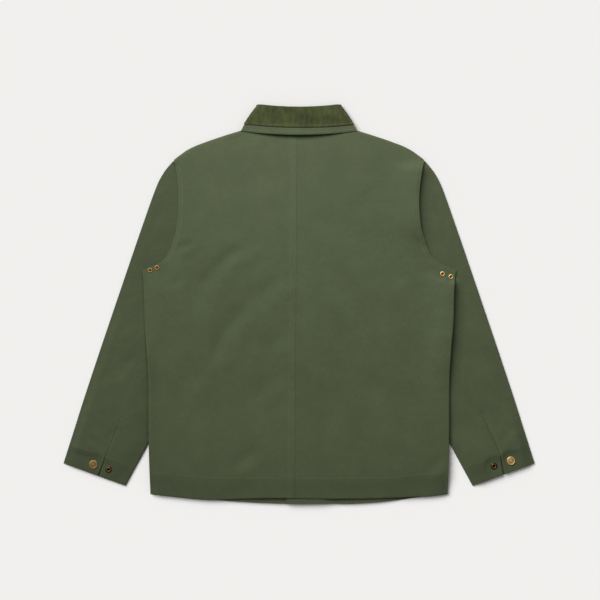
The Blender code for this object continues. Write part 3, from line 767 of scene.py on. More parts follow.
# %% Grids for the half panels
TIP = float(ease(ARMHOLE, SHOULDER_TIP))
CLOSE = np.array([0, 0.7, 1.5, 2.3, 3.6, 5.4, 6.2, 7, 9, 10.1, 10.9, 11.7, 12.5, 13.4, 15, 18, 22])
FROM_EDGE = np.array([26, 21, 17, 14, 12, 10.6, 9.8, 9, 8.2, 6.5, 4.5, 3, 1.9, 1.1, 0.5, 0])
HEM_ROWS = np.array([52, 46, 43.4, 42.2, 41, 39.8, 38, 34, 29, 23, 17, 11, 7, 4.2, 2.4, 1.2, 0.5, 0])
TURN_WIDTH, TURN_DROP = 2.6, 0.9        # of a turned edge, which rounds over
DRAWN_IN = 1.7                          # of the raised right armhole
DRAWN_UP, DRAWN_DOWN = (512, 538), (640, 580)


def half_grid(centre, top_edge, hem):
    """(x, y) across one half of the back or front: rows from the shoulder down, columns from the centre."""
    side_hem = float(hem(HEM_HALF))
    heights = np.concatenate([
        SHOULDER_TIP - np.array([0, 1.2, 2.6, 4.6, 7.5]), spread(659, UNDERARM + 12, 4.2),
        spread(UNDERARM + 12, UNDERARM, 1.5), spread(UNDERARM, side_hem + 56, 4.4), side_hem + HEM_ROWS])
    heights = heights[:, None]
    edge, start = body_edge(heights), centre(heights)

    def columns(edge, start, neck):
        """Distances out, close together at the centre and the edge, with a column at the neck's corner."""
        inner = start + CLOSE + 0 * edge
        to_neck = inner[:, -1:] + (neck - inner[:, -1:]) * np.linspace(0, 1, 24)[1:]
        outer = edge - FROM_EDGE
        to_edge = neck + (outer[:, :1] - neck) * np.linspace(0, 1, 28)[1:-1]
        return np.hstack([inner, to_neck, to_edge, outer])

    x = columns(edge, start, NECK_HALF * edge / TIP)
    top_x = columns(TIP + 0 * edge, start, NECK_HALF + 0 * edge)
    high = (SHOULDER_TIP - heights) / (SHOULDER_TIP - UNDERARM)
    low = (UNDERARM - heights) / (UNDERARM - side_hem)
    upper = top_edge(top_x) * (1 - high) + UNDERARM * high
    return x, np.where(heights >= UNDERARM, upper, heights + (hem(x) - side_hem) * low)


def edge_turn(x, y, hem):
    """How far a turned edge rounds over within a few millimetres of the side and the hem."""
    near = np.minimum(np.minimum(away(SIDE, x, y), y - hem(x)), away(SHOULDER_LINE, x, y))
    inward = np.clip(1 - near / TURN_WIDTH, 0, 1)
    return TURN_DROP * (1 - np.sqrt(1 - 0.96 * inward ** 2)) / 0.8


def lay_half(node, x, y, z, hem, sags, **looks):
    """A half panel. It sags by a table at its hem, and where it stands off it is drawn in to the centre."""
    sag = ease(sags, x) * np.clip((HEM_DEPTH - y + hem(x)) / HEM_DEPTH, 0, 1)
    low_y = y - sag
    drawn_in = DRAWN_IN * run(low_y, *DRAWN_UP) * run(low_y, *DRAWN_DOWN) * (x > 0)
    drawn_in = drawn_in * bell(away(ARMHOLE, x, low_y), RAISED_ARMHOLE)
    points = joined(x * (1 - stand_off(x, low_y) / CAMERA_HEIGHT) - drawn_in, low_y, z)
    cloth(node, points, joined(x, y), **looks)


def patched(patches, x, y):
    """The change of tone that a table's soft patches make at (x, y)."""
    return sum(change * np.exp(-((x - patch_x) / half_wide) ** 2 - ((y - patch_y) / half_high) ** 2)
               for patch_x, patch_y, half_wide, half_high, change in patches)


print("the body is", round(2 * TIP, 1), "mm wide at its shoulder tips")

# %% The back
# x, y, half width, half height, change of tone: soft patches that make the two panels a little lighter or
# darker
PANEL_PATCHES = {
    -1: ((-255, 400, 60, 50, 0.04), (-20, 205, 90, 60, 0.025)),
    1: ((150, 610, 150, 90, -0.055), (20, 205, 90, 60, -0.03), (10, 398, 40, 60, 0.02)),
}
# painted shade: the turned hem band is painted darker, more towards the sides, where it slopes away from the
# light
HEM_PAINTED_SHADE = {-1: (0.075, 36), 1: (0.05, 20)}        # of the turned hem, and the height over which it comes in
for name, side in SIDES:
    x, y = half_grid(lambda height: 0.04 - side * fell_lean(height), shoulder_edge, back_hem)
    x = side * x
    z = back_surface(x, y) - edge_turn(x, y, back_hem)
    # painted shade along the hem, taken off the tone
    shade, fade = HEM_PAINTED_SHADE[side]
    shade = (shade + 0.04 * run(np.abs(x), 90, 210)) * smooth((HEM_DEPTH + 5 - y + back_hem(x)) / fade)
    lay_half(f"back_{name}", x, y, z, back_hem, HEM_SAG, flip=side < 0,
             tone=1 + patched(PANEL_PATCHES[side], x, y) - shade)

# %% [markdown]
# ## Fronts
# The fronts lie face down on the table, so none of them shows in the photograph but a sliver of their hem
# and of the placket below the back. They are finished plainly: a turned front edge, a turned hem and a
# scooped neck. The left front lies lowest, and the right one passes over it inside the jacket.

# %% The fronts
for name, side in SIDES:
    x, y = half_grid(lambda height: -PLACKET_HALF + 0 * height, front_edge, front_hem)
    x = side * x
    z = front_surface(x, y, side > 0) + 0.6 * edge_turn(x, y, front_hem)
    lay_half(f"front_{name}", x, y, z, front_hem, FRONT_SAG, flip=side > 0)

# %% [markdown]
# ## Sleeves
# Each sleeve is cut in two: a top sleeve, which wraps from under the arm round the outer fold to the back
# seam, and a narrower under sleeve. A section across the sleeve is a flattened loop. Each grid follows the
# loop, round the folds, for every height down the sleeve. At the cuff the back seam opens into a vent.

# %% Sections of a sleeve
SECTION_HEIGHTS = np.concatenate([
    [668, 666, 663], spread(660, 468, 5), spread(468, 432, 3), spread(432, 84, 4.6),
    CUFF_INNER + np.array([46, 43.6, 42.2, 41, 39.8, 37.4, 33, 28, 23, 17, 11, 6, 3, 1.2, 0.5, 0])])
LAP_SHARES = (0.06, 0.22, 0.66, 0.78)
ARMHOLE_LAP, CLOSED_LAP = 8, 3.5        # of the sleeve under the body, and the least that closes the slit
SEAM_APART = 1.6 * GAP
VENT_TOP, VENT_OPEN = 78, 2.3
VENT_LIP = 1.5                          # by which the vent's upper edge stands up
UNDER_TOP = 437
FOLD_TILTS = np.radians([-70, -45, -20, 0, 20, 45, 70])
NEAR_SEAM = np.array([30, 24, 19, 15.5, 13, 11, 9.5, 8, 6.5, 5, 3.2, 1.7, 0.7, 0])
TOP_DIP, UNDER_DIP = np.array([0.10, 0.30, 0.70]), np.array([1.1, 0.55, 0.20])     # of the points by the seam


def sleeve_ends(height, lapped):
    """Outer and inner end of the sleeve's section. lapped runs the inner end under the back."""
    slant = max(0, (UNDERARM - height) / (UNDERARM - CUFF_INNER))
    outer_height = height + (OUTER_FOLD[-1][0] - CUFF_INNER) * slant
    outer = np.array([float(ease(OUTER_FOLD, outer_height)), outer_height])
    if height < UNDERARM:
        return outer, np.array([float(ease(INNER_FOLD, height)), height])
    depth = (SHOULDER_TIP - height) / (SHOULDER_TIP - UNDERARM)
    starts, full, narrows, ends = LAP_SHARES
    lap = ARMHOLE_LAP * smooth((depth - starts) / (full - starts)) * smooth((ends - depth) / (ends - narrows))
    lap = max(lap, CLOSED_LAP * smooth((depth - starts + 0.02) / 0.04) * smooth((1 - depth) / 0.04))
    edge = float(ease(ARMHOLE, height))
    lean = float(ease(ARMHOLE, height + 1) - ease(ARMHOLE, height - 1)) / 2
    apart = (SEAM_APART - lap if lapped else SEAM_APART) / math.hypot(1, lean)
    return outer, np.array([edge + apart, height - apart * lean])


def seam_shares(height, side):
    """Shares of the width at the back seam and the front seam: 1 where they run into the armhole."""
    seams = SLEEVE_SEAMS[side]
    if height > seams[-1][0]:
        return 1, 1
    return float(ease(seams, height, 1)), float(ease(seams, height, 2))


def vent_gap(height):
    """How far the under sleeve keeps off the top sleeve: a hair, and more down the vent."""
    return 0.06 + (GAP + VENT_OPEN) * float(smooth((VENT_TOP - height) / (VENT_TOP - CUFF_INNER)))


def along_line(start, end, shares):
    """Points from start to end at shares of the way."""
    return start + (end - start) * np.asarray(shares)[:, None]


def laid(points, side, upper):
    """A flat or puffed stretch of a section, at the sleeve's upper face or on the table."""
    x, y = side * points[:, 0], points[:, 1]
    return joined(x, y, sleeve_surface(x, y) if upper else 0)


def fold(end, other, side, rising):
    """The round fold at the end of a section, from the underside up or from the top down."""
    tilt = FOLD_TILTS if rising else -FOLD_TILTS
    flat = along_line(end, other, FOLD_RADIUS * (1 - np.cos(tilt)) / np.linalg.norm(end - other))
    return joined(side * flat[:, 0], flat[:, 1], FOLD_RADIUS * (1 + np.sin(tilt)))


def close_to_seam(start, end, count, width):
    """Shares from start to end that crowd in the last millimetres, where a stitched edge rounds off."""
    near = NEAR_SEAM * min(1, 0.55 * abs(end - start) * width / NEAR_SEAM[0]) / width
    near = end + np.sign(start - end) * near
    return np.concatenate([np.linspace(start, near[0], count)[:-1], near])


def travelled(rows):
    """Distance along each row, and down the rows: the pattern of a piece cut along its length."""
    across = np.cumsum(np.linalg.norm(np.diff(rows, axis=1, prepend=rows[:, :1]), axis=2), axis=1)
    down = np.cumsum(np.linalg.norm(np.diff(rows[:, -1:], axis=0, prepend=rows[:1, -1:]), axis=2), axis=0)
    return joined(across, -down)


def sleeve_painted_shade(x, y):
    """Painted shade: the sleeve's head, most on the left, and its cuff hem are painted darker than the body, as
    they catch less of the light.
    """
    head = np.where(x < 0, 0.05 + 0.12 * run(y, 250, 580), 0.10 * run(y, 330, 580))
    return 1 - head - 0.08 * smooth((CUFF_DEPTH + 4 - away(CUFF_LINE, x, y)) / 16)


print(len(SECTION_HEIGHTS), "sections down a sleeve")

# %% The sleeves
for name, side in SIDES:
    sleeve = {"top": [], "under": []}
    for height in SECTION_HEIGHTS:
        outer, low_inner = sleeve_ends(height, False)
        inner = sleeve_ends(height, True)[1]
        width = np.linalg.norm(outer - inner)
        back_seam, front_seam = seam_shares(height, side)
        near = 1.15 * FOLD_RADIUS / width
        # the back seam is sunk between its two edges, unevenly, and most towards the cuff
        sunk = 0.12 + 0.12 * ripple(height, 37, 2 + side) + 0.8 * run(height, 165, 120)
        beneath = laid(along_line(outer, low_inner, np.linspace(front_seam, near, 18)), side, False)
        above = laid(along_line(outer, inner, close_to_seam(near, back_seam, 30, width)), side, True)
        above[-3:, 2] -= sunk * TOP_DIP
        above[-9:, 2] += VENT_LIP * run(height, VENT_TOP + 8, VENT_TOP - 18) * np.linspace(0, 1, 9) ** 1.5
        sleeve["top"].append(np.concatenate([beneath, fold(outer, inner, side, True), above]))
        if height <= UNDER_TOP:
            start = back_seam + vent_gap(height) / width
            above = laid(along_line(outer, inner, close_to_seam(1 - near, start, 24, width)[::-1]), side, True)
            beneath = np.linspace(1 - near, front_seam + GAP / width, 10)
            beneath = laid(along_line(outer, inner, beneath), side, False)
            above[:3, 2] -= sunk * UNDER_DIP
            sleeve["under"].append(np.concatenate([above, fold(inner, outer, side, False), beneath]))
    for half, rows in sleeve.items():
        rows = np.array(rows)
        # the tone carries painted shade on the sleeve's head and cuff
        cloth(f"sleeve_{half}_{name}", rows, travelled(rows), flip=side > 0,
              tone=sleeve_painted_shade(rows[..., 0], rows[..., 1]))

# %% [markdown]
# ## Cuff underlaps
# Behind each vent lies a strip of the cuff, so the open vent shows cloth and not a hole.

# %% The underlaps
UNDERLAP_HEIGHTS = (76, 56, 37.5)
UNDERLAP_SHARES = np.linspace(0.34, 0.63, 12)
for name, side in SIDES:
    rows = np.array([along_line(*sleeve_ends(height, True), UNDERLAP_SHARES) for height in UNDERLAP_HEIGHTS])
    rows = joined(side * rows[..., 0], rows[..., 1], 2 * WALL + SLACK)
    cloth(f"cuff_underlap_{name}", rows, travelled(rows), flip=side > 0, rounding=0.3)

# %% [markdown]
# ## Corduroy
# The collar is faced with fine corduroy, a cotton pile cut in ridges called wales. Light sinks between the
# tufts, so corduroy is darker and yellower than the twill of the same dye, with a soft bright sheen where
# the pile leans. Its nap is brushed unevenly by wear, in blurred patches. The wales themselves are
# modelled in the collar's grid, and the pile's fibres are a fine noise stretched along the wales.

# %% The corduroy
WALE, WALE_DEPTH = 2.4, 0.42            # wider than the real ones, or they wouldn't show from here


def make_corduroy(name, dark, light, groove):
    """Grooves between the wales painted dark as shade, a nap brushed in patches, and the pile's fibres."""
    material, tree, shader = begin(name)
    on = add(tree, "ShaderNodeUVMap", uv_map="cloth").outputs["UV"]
    wales = add(tree, "ShaderNodeTexWave", {"Vector": on, "Scale": bands(WALE), "Distortion": 0}).outputs["Fac"]
    worn = ranged(tree, noise(tree, stretched(tree, on, 0.45), 9, 4, Roughness=0.65), 0.36, 0.66)
    nap = between(tree, worn, linear(dark), linear(light))
    # painted shade: the grooves between the wales get the dark groove colour
    colour = between(tree, ranged(tree, wales, 0, 0.45, 0.55, 0), nap, linear(groove))
    feed(shader, {
        "Base Color": toned(tree, colour),
        "Normal": bumped(tree, noise(tree, stretched(tree, on, 0.3), 0.8, 2), 0.35, 0.6),
        "Roughness": 0.95, "Specular IOR Level": 0.1,
        "Sheen Weight": 0.16, "Sheen Roughness": 0.4, "Sheen Tint": linear("#B9B489")})
    return material


# the last colour is the painted shade in the grooves between the wales
FINISHES["corduroy"] = make_corduroy("fine cotton corduroy", "#272A17", "#363C22", "#1A1B0E")
print("corduroy:", round(25.4 / WALE, 1), "wales to the inch")

# %% [markdown]
# ## Collar
# The collar rolls over its stand and its fall lies on the back. The fall is twill at its free edge and
# faced with corduroy above that, from the roll down. The free edge stands off the back most at the
# centre, where the collar's curve lifts it, and throws a crescent of shadow on the back.

# %% The collar's sheets
ROLL_HALF, ROLL_SIDE, ROLL_CENTRE = 82, 776.8, 772.6
FREE_HALF, FREE_SIDE, FREE_CENTRE = 113.5, 727.5, 720.4
FALL_TOP = 9.6
FALL_STAND_OFF = 6.6        # a little more than the solid's, so the crescent of shadow shows
FALL_BOW = 2.4              # of the collar's two ends, which curve outwards
ROLL_RADIUS = 2.15
ROLL_ANGLES = (-60, -35, -10, 15, 40, 65)
FACING_SHARE = 0.73         # of the fall's depth that the corduroy covers
EDGE_ROLL = 5               # of the facing's lower edge, which is turned under and stands proud
# distance in from the collar's end, how far the fall rounds over there
SIDE_CURL = ((9, 0), (7.2, 0.15), (5.5, 0.4), (4, 0.85), (2.5, 1.5), (1.2, 2.35), (0.4, 2.95), (0, 3.2))


def on_fall(across, depth, inward=0, slant=0):
    """(x, y) on the fall: across it from -1 to 1, and down it from 0 at the roll to 1 at the free edge."""
    half = ROLL_HALF + (FREE_HALF - ROLL_HALF) * depth + 4 * FALL_BOW * depth * (1 - depth) - inward
    roll = ROLL_CENTRE + (ROLL_SIDE - ROLL_CENTRE) * across ** 2
    free = FREE_CENTRE + (FREE_SIDE - FREE_CENTRE) * across ** 2
    return across * half, roll - ROLL_RADIUS + (free - roll) * depth * (1 + slant * across)


def fall_grid(depths, parts, slant=0):
    """The fall's outer face from under the roll to a depth, across parts from -1 to 1 and round the ends."""
    columns = [(-1, *row) for row in SIDE_CURL[:0:-1]] + [(part, *SIDE_CURL[0]) for part in parts]
    across, inward, drop = np.array(columns + [(1, *row) for row in SIDE_CURL[1:]], float).T
    swell = np.clip(1 - ((across + 0.04) / 0.90) ** 2, 0, 1) ** 1.15 * FALL_STAND_OFF
    swell = swell + 1.3 * bell(across - 0.10, 0.25)
    rows = []
    for angle, depth in [(angle, 0) for angle in ROLL_ANGLES] + [(90, depth) for depth in depths]:
        tilt = math.radians(angle)
        x, y = on_fall(across, depth, inward, slant)
        z = FALL_TOP - ROLL_RADIUS + ROLL_RADIUS * math.sin(tilt) + swell * math.sin(0.5 * math.pi * depth) ** 2
        z = z - drop * (0.5 + 0.5 * math.sin(tilt)) * (1 - smooth((depth - 0.55) / 0.3))
        rows.append(joined(x, y + ROLL_RADIUS * math.cos(tilt), z))
    return np.array(rows)


def moved_out(rows, distance):
    """The same sheet, each point moved out along the sheet's normal."""
    normal = np.cross(np.gradient(rows, axis=1), -np.gradient(rows, axis=0))
    normal /= np.linalg.norm(normal, axis=2, keepdims=True)
    return rows + normal * distance[..., None]


print("fall", round(ROLL_CENTRE - FREE_CENTRE, 1), "mm deep at the centre")

# %% The fall and its facing
# x, y, half width, half height, change of tone: where the nap is brushed the other way. The three thin light
# bands just above the facing's lower edge and the two at the collar's ends are painted highlight, where the
# cloth rolls and curves into the light
NAP_PATCHES_AND_HIGHLIGHTS = (
    (8, 752, 24, 10, -0.26), (22, 742, 12, 9, -0.14), (-52, 752, 16, 9, -0.12),
    (-26, 738.5, 16, 3, 0.30), (-60, 740, 14, 4, 0.10), (30, 737, 60, 2.5, 0.12),
    (-30, 766, 12, 4, 0.10), (62, 762, 20, 6, 0.14), (-82, 748, 9, 16, 0.14),
    (84, 748, 9, 14, 0.10), (40, 755, 8, 12, 0.10), (-8, 766, 8, 5, 0.16),
)
fall = fall_grid(np.concatenate([np.linspace(0.03, 0.95, 34), [0.97, 0.985, 1]]), np.linspace(-1, 1, 61))
fall[-2:, :, 2] -= np.array([[0.25], [0.8]])
fall[-12:, :, 2] += 0.25 * ripple(fall[-12:, :, 0], 19, 0.6) * np.linspace(0, 1, 12)[:, None]
# painted shade: the fall's twill is painted darker than the body's, at 0.88 of its tone
cloth("collar_fall", fall, fall[..., :2], tone=0.88)

facing_depths = FACING_SHARE * np.concatenate([np.linspace(0.03, 0.9, 30), np.linspace(0.915, 1, 10)])
facing = fall_grid(facing_depths, np.arange(-1, 1.0001, 1 / 320), slant=0.016)
from_edge = np.linalg.norm(facing - facing[-1:], axis=2)
ridge = 0.5 * bell(from_edge - EDGE_ROLL / 2, 2) - 0.35 * bell(from_edge - 6.4, 0.9)
wale = WALE_DEPTH * 0.5 * np.cos(2 * math.pi * facing[..., 0] / WALE)
lumps = 0.25 * ripple(facing[..., 0] + 0.6 * facing[..., 1], 27, 2.2)
turn = 0.8 * np.clip(1 - from_edge / 1.4, 0, 1) ** 2
raised = GAP + WALL + ridge + wale + lumps - turn
# the tone holds the nap's patches and painted highlight along the facing's lower edge and at the collar's ends
cloth("collar_corduroy", moved_out(facing, raised), facing[..., :2], "corduroy",
      tone=0.96 + patched(NAP_PATCHES_AND_HIGHLIGHTS, facing[..., 0], facing[..., 1]))

# %% [markdown]
# ## Stand and leaves
# Under the fall the stand joins the collar to the neck. The collar's two front ends, its leaves, lie
# folded down on the fronts, face down on the table, with their corduroy outside.

# %% The stand and the leaves
STAND_TOP, STAND_FOOT_HALF, STAND_TOP_HALF, STAND_RISE = 765, 97, 74, 0.6
# the leaf's ends at the front and at the back: (x, y) on its seam, (x, y) on its edge
LEAF_ENDS = np.array([((8, 648), (45, 592)), ((83, 770), (112, 728))], float)


def on_leaf(share, shares_along):
    """(x, y) on a leaf, at a share of the way from its seam to its edge and at shares along it."""
    first, last = (seam + (edge - seam) * share for seam, edge in LEAF_ENDS)
    return along_line(first, last, shares_along)


shares = np.linspace(0, 1, 9)[:, None]
x = np.linspace(1, -1, 41) * (STAND_FOOT_HALF + (STAND_TOP_HALF - STAND_FOOT_HALF) * shares)
foot = shoulder_edge(x) + GAP
stand = joined(x, foot + (STAND_TOP - foot) * shares, BACK_TOP + STAND_RISE * shares)
cloth("collar_stand", stand, stand[..., :2], rounding=0.3)
for name, side in SIDES:
    rows = np.array([on_leaf(share, np.append(np.linspace(0, 0.97, 48), 1)) for share in np.linspace(0, 1, 24)])
    rows = joined(side * rows[..., 0], rows[..., 1], np.append(np.zeros(48), 0.6))
    cloth(f"collar_leaf_{name}", rows, travelled(rows), "corduroy", flip=side > 0)

# %% [markdown]
# ## Brass and antique brass
# The eyelets and the cuff snaps' caps are lacquered brass, pressed from sheet and tumbled to a satin. The
# studs are brass too, with a dark brown patina, rubbed paler where the cap closes on it. Both are metals
# whose tarnish gathers in the grooves and rubs off the ridges, so each turned piece carries an attribute
# that says how tarnished each ring of it is: 0 on ridges, 1 in grooves, 2 in the shade inside a hole.

# %% The metals
def make_metal(name, bright, tarnished, shade, roughness):
    """A metal that goes from bright to tarnished by its attribute, with blotches and fine scuffs."""
    material, tree, shader = begin(name)
    tarnish = add(tree, "ShaderNodeAttribute", attribute_name="tarnish").outputs["Fac"]
    on = add(tree, "ShaderNodeTexCoord").outputs["Object"]
    blotches = ranged(tree, noise(tree, on, 2.2, 3), 0.3, 0.7, -0.16, 0.16)
    total = add(tree, "ShaderNodeMath", {0: tarnish, 1: blotches}, operation="ADD").outputs[0]
    face = between(tree, total, linear(bright), linear(tarnished))
    scuffs = noise(tree, on, 0.7, 2)
    feed(shader, {
        "Base Color": between(tree, ranged(tree, tarnish, 1.2, 1.7), face, linear(shade)),
        "Roughness": ranged(tree, scuffs, 0.3, 0.7, roughness - 0.06, roughness + 0.12),
        "Normal": bumped(tree, scuffs, 0.05, 0.4), "Metallic": 1})
    return material


satin_brass = make_metal("satin lacquered brass", "#C9AB75", "#6E5430", "#1E1608", 0.46)
pale_brass = make_metal("pale polished brass", "#B39D68", "#6E5A30", "#5E2E18", 0.50)
antique_brass = make_metal("antique brown brass", "#74593A", "#241A10", "#050403", 0.42)
print("metals:", satin_brass.name + ",", pale_brass.name, "and", antique_brass.name)

# %% [markdown]
# ## Eyelets and snaps
# They are all round pressings, so each is one profile turned about its own axis, as on a lathe. A profile is
# a short table of radius, height and tarnish. Cutting its corners twice rounds it as a press would. The caps
# are bare but for a plain ring. The eyelets' holes and the studs' sockets end in a dark floor, which stands
# for the shade inside. Under each piece the cloth was pressed flat, so all of them sit on it.

# %% Profiles of the hardware
# radius, height, tarnish
EYELET = ((0, 0.12, 2), (2.1, 0.12, 2), (2.35, 0.3, 1.5), (2.45, 0.8, 0.9), (2.9, 1.2, 0.2),
          (3.6, 1.35, 0), (4.4, 1.1, 0), (4.95, 0.5, 0.3), (4.9, 0, 0.9), (0, 0, 1))
CAP = ((0, 2.2, 0.25), (3.2, 2.15, 0.2), (3.7, 1.95, 1), (4.3, 1.95, 1), (4.8, 2.12, 0.15), (5.9, 2, 0.2),
       (6.4, 1.9, 0.8), (6.9, 2.15, 0.1), (7.6, 2.2, 0), (8.3, 1.6, 0.1), (8.55, 0.8, 0.4), (8.3, 0, 1),
       (0, 0, 1))
STUD = ((0, 0.3, 2), (1.9, 0.3, 2), (2.15, 0.8, 1.6), (2.5, 2, 0.6), (3.3, 2.4, 0.15), (4.2, 2.25, 0.3),
        (4.7, 1.4, 1), (5.3, 1.1, 1), (6, 1.2, 0.6), (6.55, 0.8, 0.5), (6.5, 0, 1), (0, 0, 1))
FRONT_SNAP = ((0, 0, 1), (6.3, 0, 0.7), (6.6, 0.5, 0.3), (6.2, 1.2, 0.4), (5.2, 1.5, 0.6), (4.6, 1.35, 1),
              (3.9, 1.5, 0.5), (2.4, 1.5, 0.4), (1.9, 1.1, 1), (0, 1.1, 0.9))
TURNS = 40


def cut_corners(profile, times=2):
    """Each corner becomes two points, so a profile of straight runs grows round."""
    rows = np.array(profile)
    for _ in range(times):
        near, far = rows[:-1] * 0.75 + rows[1:] * 0.25, rows[:-1] * 0.25 + rows[1:] * 0.75
        rows = np.concatenate([rows[:1], np.stack([near, far], 1).reshape(-1, 3)[1:-1], rows[-1:]])
    return rows


def turned(node, profile, metal, slot, dulled=0):
    """A profile turned round the middle of a node, standing on the node's base, and moved towards its tarnished
    colour by dulled.
    """
    x, y, _, base = seat_of(node)
    rings = cut_corners(profile)
    rings = rings[::-1] if rings[0, 1] < rings[-1, 1] else rings
    turn = np.linspace(0, 2 * math.pi, TURNS, endpoint=False)
    inner = rings[1:-1]
    points = joined(x + inner[:, :1] * np.cos(turn), y + inner[:, :1] * np.sin(turn), base + inner[:, 1:2])
    index = np.arange(inner.shape[0] * TURNS).reshape(-1, TURNS)
    after = np.roll(index, -1, axis=1)
    faces = joined(index[:-1], index[1:], after[1:], after[:-1]).reshape(-1, 4).tolist()
    faces += [(index.size, int(a), int(b)) for a, b in zip(index[0], after[0])]
    faces += [(index.size + 1, int(b), int(a)) for a, b in zip(index[-1], after[-1])]
    ends = [[x, y, base + rings[0, 1]], [x, y, base + rings[-1, 1]]]
    mesh = bpy.data.meshes.new(f"{node}_brass")
    mesh.from_pydata(place(np.concatenate([points.reshape(-1, 3), ends])).tolist(), [], faces)
    tarnish = np.concatenate([np.repeat(inner[:, 2], TURNS), [rings[0, 2], rings[-1, 2]]])
    tarnish = np.where(tarnish < 1, tarnish + dulled, tarnish)
    mesh.attributes.new("tarnish", "FLOAT", "POINT").data.foreach_set("value", tarnish.astype(np.float32))
    mesh.materials.append(metal)
    mesh.shade_smooth()
    add_piece(mesh.name, mesh, slot, node)


print("a cap's profile has", len(CAP), "corners, cut to", len(cut_corners(CAP)), "rings")

# %% The hardware
# nodes, profile, metal, slot, how much duller the ones on the left are
HARDWARE = (
    (EYELETS, EYELET, pale_brass, "brass", 0.75), (CAPS, CAP, satin_brass, "brass", 0.6),
    (STUDS, STUD, antique_brass, "antique_brown", 0),
    (FRONT_SNAPS, FRONT_SNAP, antique_brass, "antique_brown", 0),
)
for nodes, profile, metal, slot, duller in HARDWARE:
    for node in nodes:
        turned(node, profile, metal, slot, duller if "left" in node else 0)
    print(len(nodes), "of", metal.name + ":", ", ".join(nodes))

# %% [markdown]
# ## Thread
# Every edge is sewn with a thick spun thread, dyed to match, a shade paler than the cloth because it stands
# up into the light. A lockstitch shows as a row of short dashes. Thousands of them would be slow to place
# by hand, so Geometry Nodes put one small ellipsoid at each pitch along a line. The lines are worked out on
# the pattern and then dropped on to the cloth, so the thread follows each pucker.

# %% The thread, and the tree that sews a row
STITCH = {"Pitch": 3.3, "Length": 2.7, "Width": 0.7}


def make_thread(name, colour):
    """Spun thread, lighter and darker along its twist."""
    material, tree, shader = begin(name)
    on = add(tree, "ShaderNodeTexCoord").outputs["Object"]
    fray = ranged(tree, noise(tree, on, 3, 2), 0, 1, 0.78, 1.22)
    tone = add(tree, "ShaderNodeHueSaturation", {"Color": linear(colour), "Value": fray})
    feed(shader, {"Base Color": tone.outputs[0], "Roughness": 0.75, "Sheen Weight": 0.1})
    return material


THREADS = {"twill": make_thread("spun olive thread", "#4C543B"),
           "corduroy": make_thread("spun umber thread", "#55482C")}

sewing = bpy.data.node_groups.new("row of stitches", "GeometryNodeTree")
sewing.interface.new_socket("Geometry", in_out="INPUT", socket_type="NodeSocketGeometry")
for label, size in STITCH.items():
    sewing.interface.new_socket(label, in_out="INPUT", socket_type="NodeSocketFloat").default_value = size * MM
sewing.interface.new_socket("Thread", in_out="INPUT", socket_type="NodeSocketMaterial")
sewing.interface.new_socket("Geometry", in_out="OUTPUT", socket_type="NodeSocketGeometry")
given = add(sewing, "NodeGroupInput").outputs
line = add(sewing, "GeometryNodeMeshToCurve", {"Mesh": given["Geometry"]})
holes = add(sewing, "GeometryNodeCurveToPoints", {"Curve": line.outputs[0], "Length": given["Pitch"]},
            mode="LENGTH")
heading = add(sewing, "FunctionNodeAlignRotationToVector", {"Vector": holes.outputs["Tangent"]}, axis="X")
loop = add(sewing, "GeometryNodeMeshUVSphere", {"Segments": 6, "Rings": 4, "Radius": 0.5})
size = add(sewing, "ShaderNodeCombineXYZ", {"X": given["Length"], "Y": given["Width"], "Z": given["Width"]})
uneven = add(sewing, "FunctionNodeRandomValue", {"Min": (0.88, 0.85, 0.85), "Max": (1.06, 1.15, 1.15),
                                                 "Seed": 7}, data_type="FLOAT_VECTOR")
scaled = add(sewing, "ShaderNodeVectorMath", {0: size.outputs[0], 1: uneven.outputs["Value"]},
             operation="MULTIPLY")
sewn_in = add(sewing, "GeometryNodeInstanceOnPoints", {
    "Points": holes.outputs["Points"], "Instance": loop.outputs["Mesh"], "Rotation": heading.outputs[0],
    "Scale": scaled.outputs[0]})
rounded = add(sewing, "GeometryNodeSetShadeSmooth", {"Geometry": sewn_in.outputs[0]})
real = add(sewing, "GeometryNodeRealizeInstances", {"Geometry": rounded.outputs[0]})
dyed = add(sewing, "GeometryNodeSetMaterial", {"Geometry": real.outputs[0], "Material": given["Thread"]})
add(sewing, "NodeGroupOutput", {"Geometry": dyed.outputs[0]})
sockets = {item.name: item.identifier for item in sewing.interface.items_tree if item.in_out == "INPUT"}
print("the tree's inputs:", ", ".join(sockets))


# %% Sewing a line on to a piece of cloth
SINK = 0.12                 # of the thread's middle below the cloth's face, as the stitch is drawn tight
RAY_FROM = 200              # height from which a line is dropped on to the cloth


def stepped(line, step=1.6):
    """A broken line in (x, y) with points a step apart."""
    line = np.asarray(line, float)
    at = np.concatenate([[0], np.cumsum(np.hypot(*np.diff(line, axis=0).T))])
    wanted = np.linspace(0, at[-1], max(2, round(at[-1] / step)))
    return joined(np.interp(wanted, at, line[:, 0]), np.interp(wanted, at, line[:, 1]))


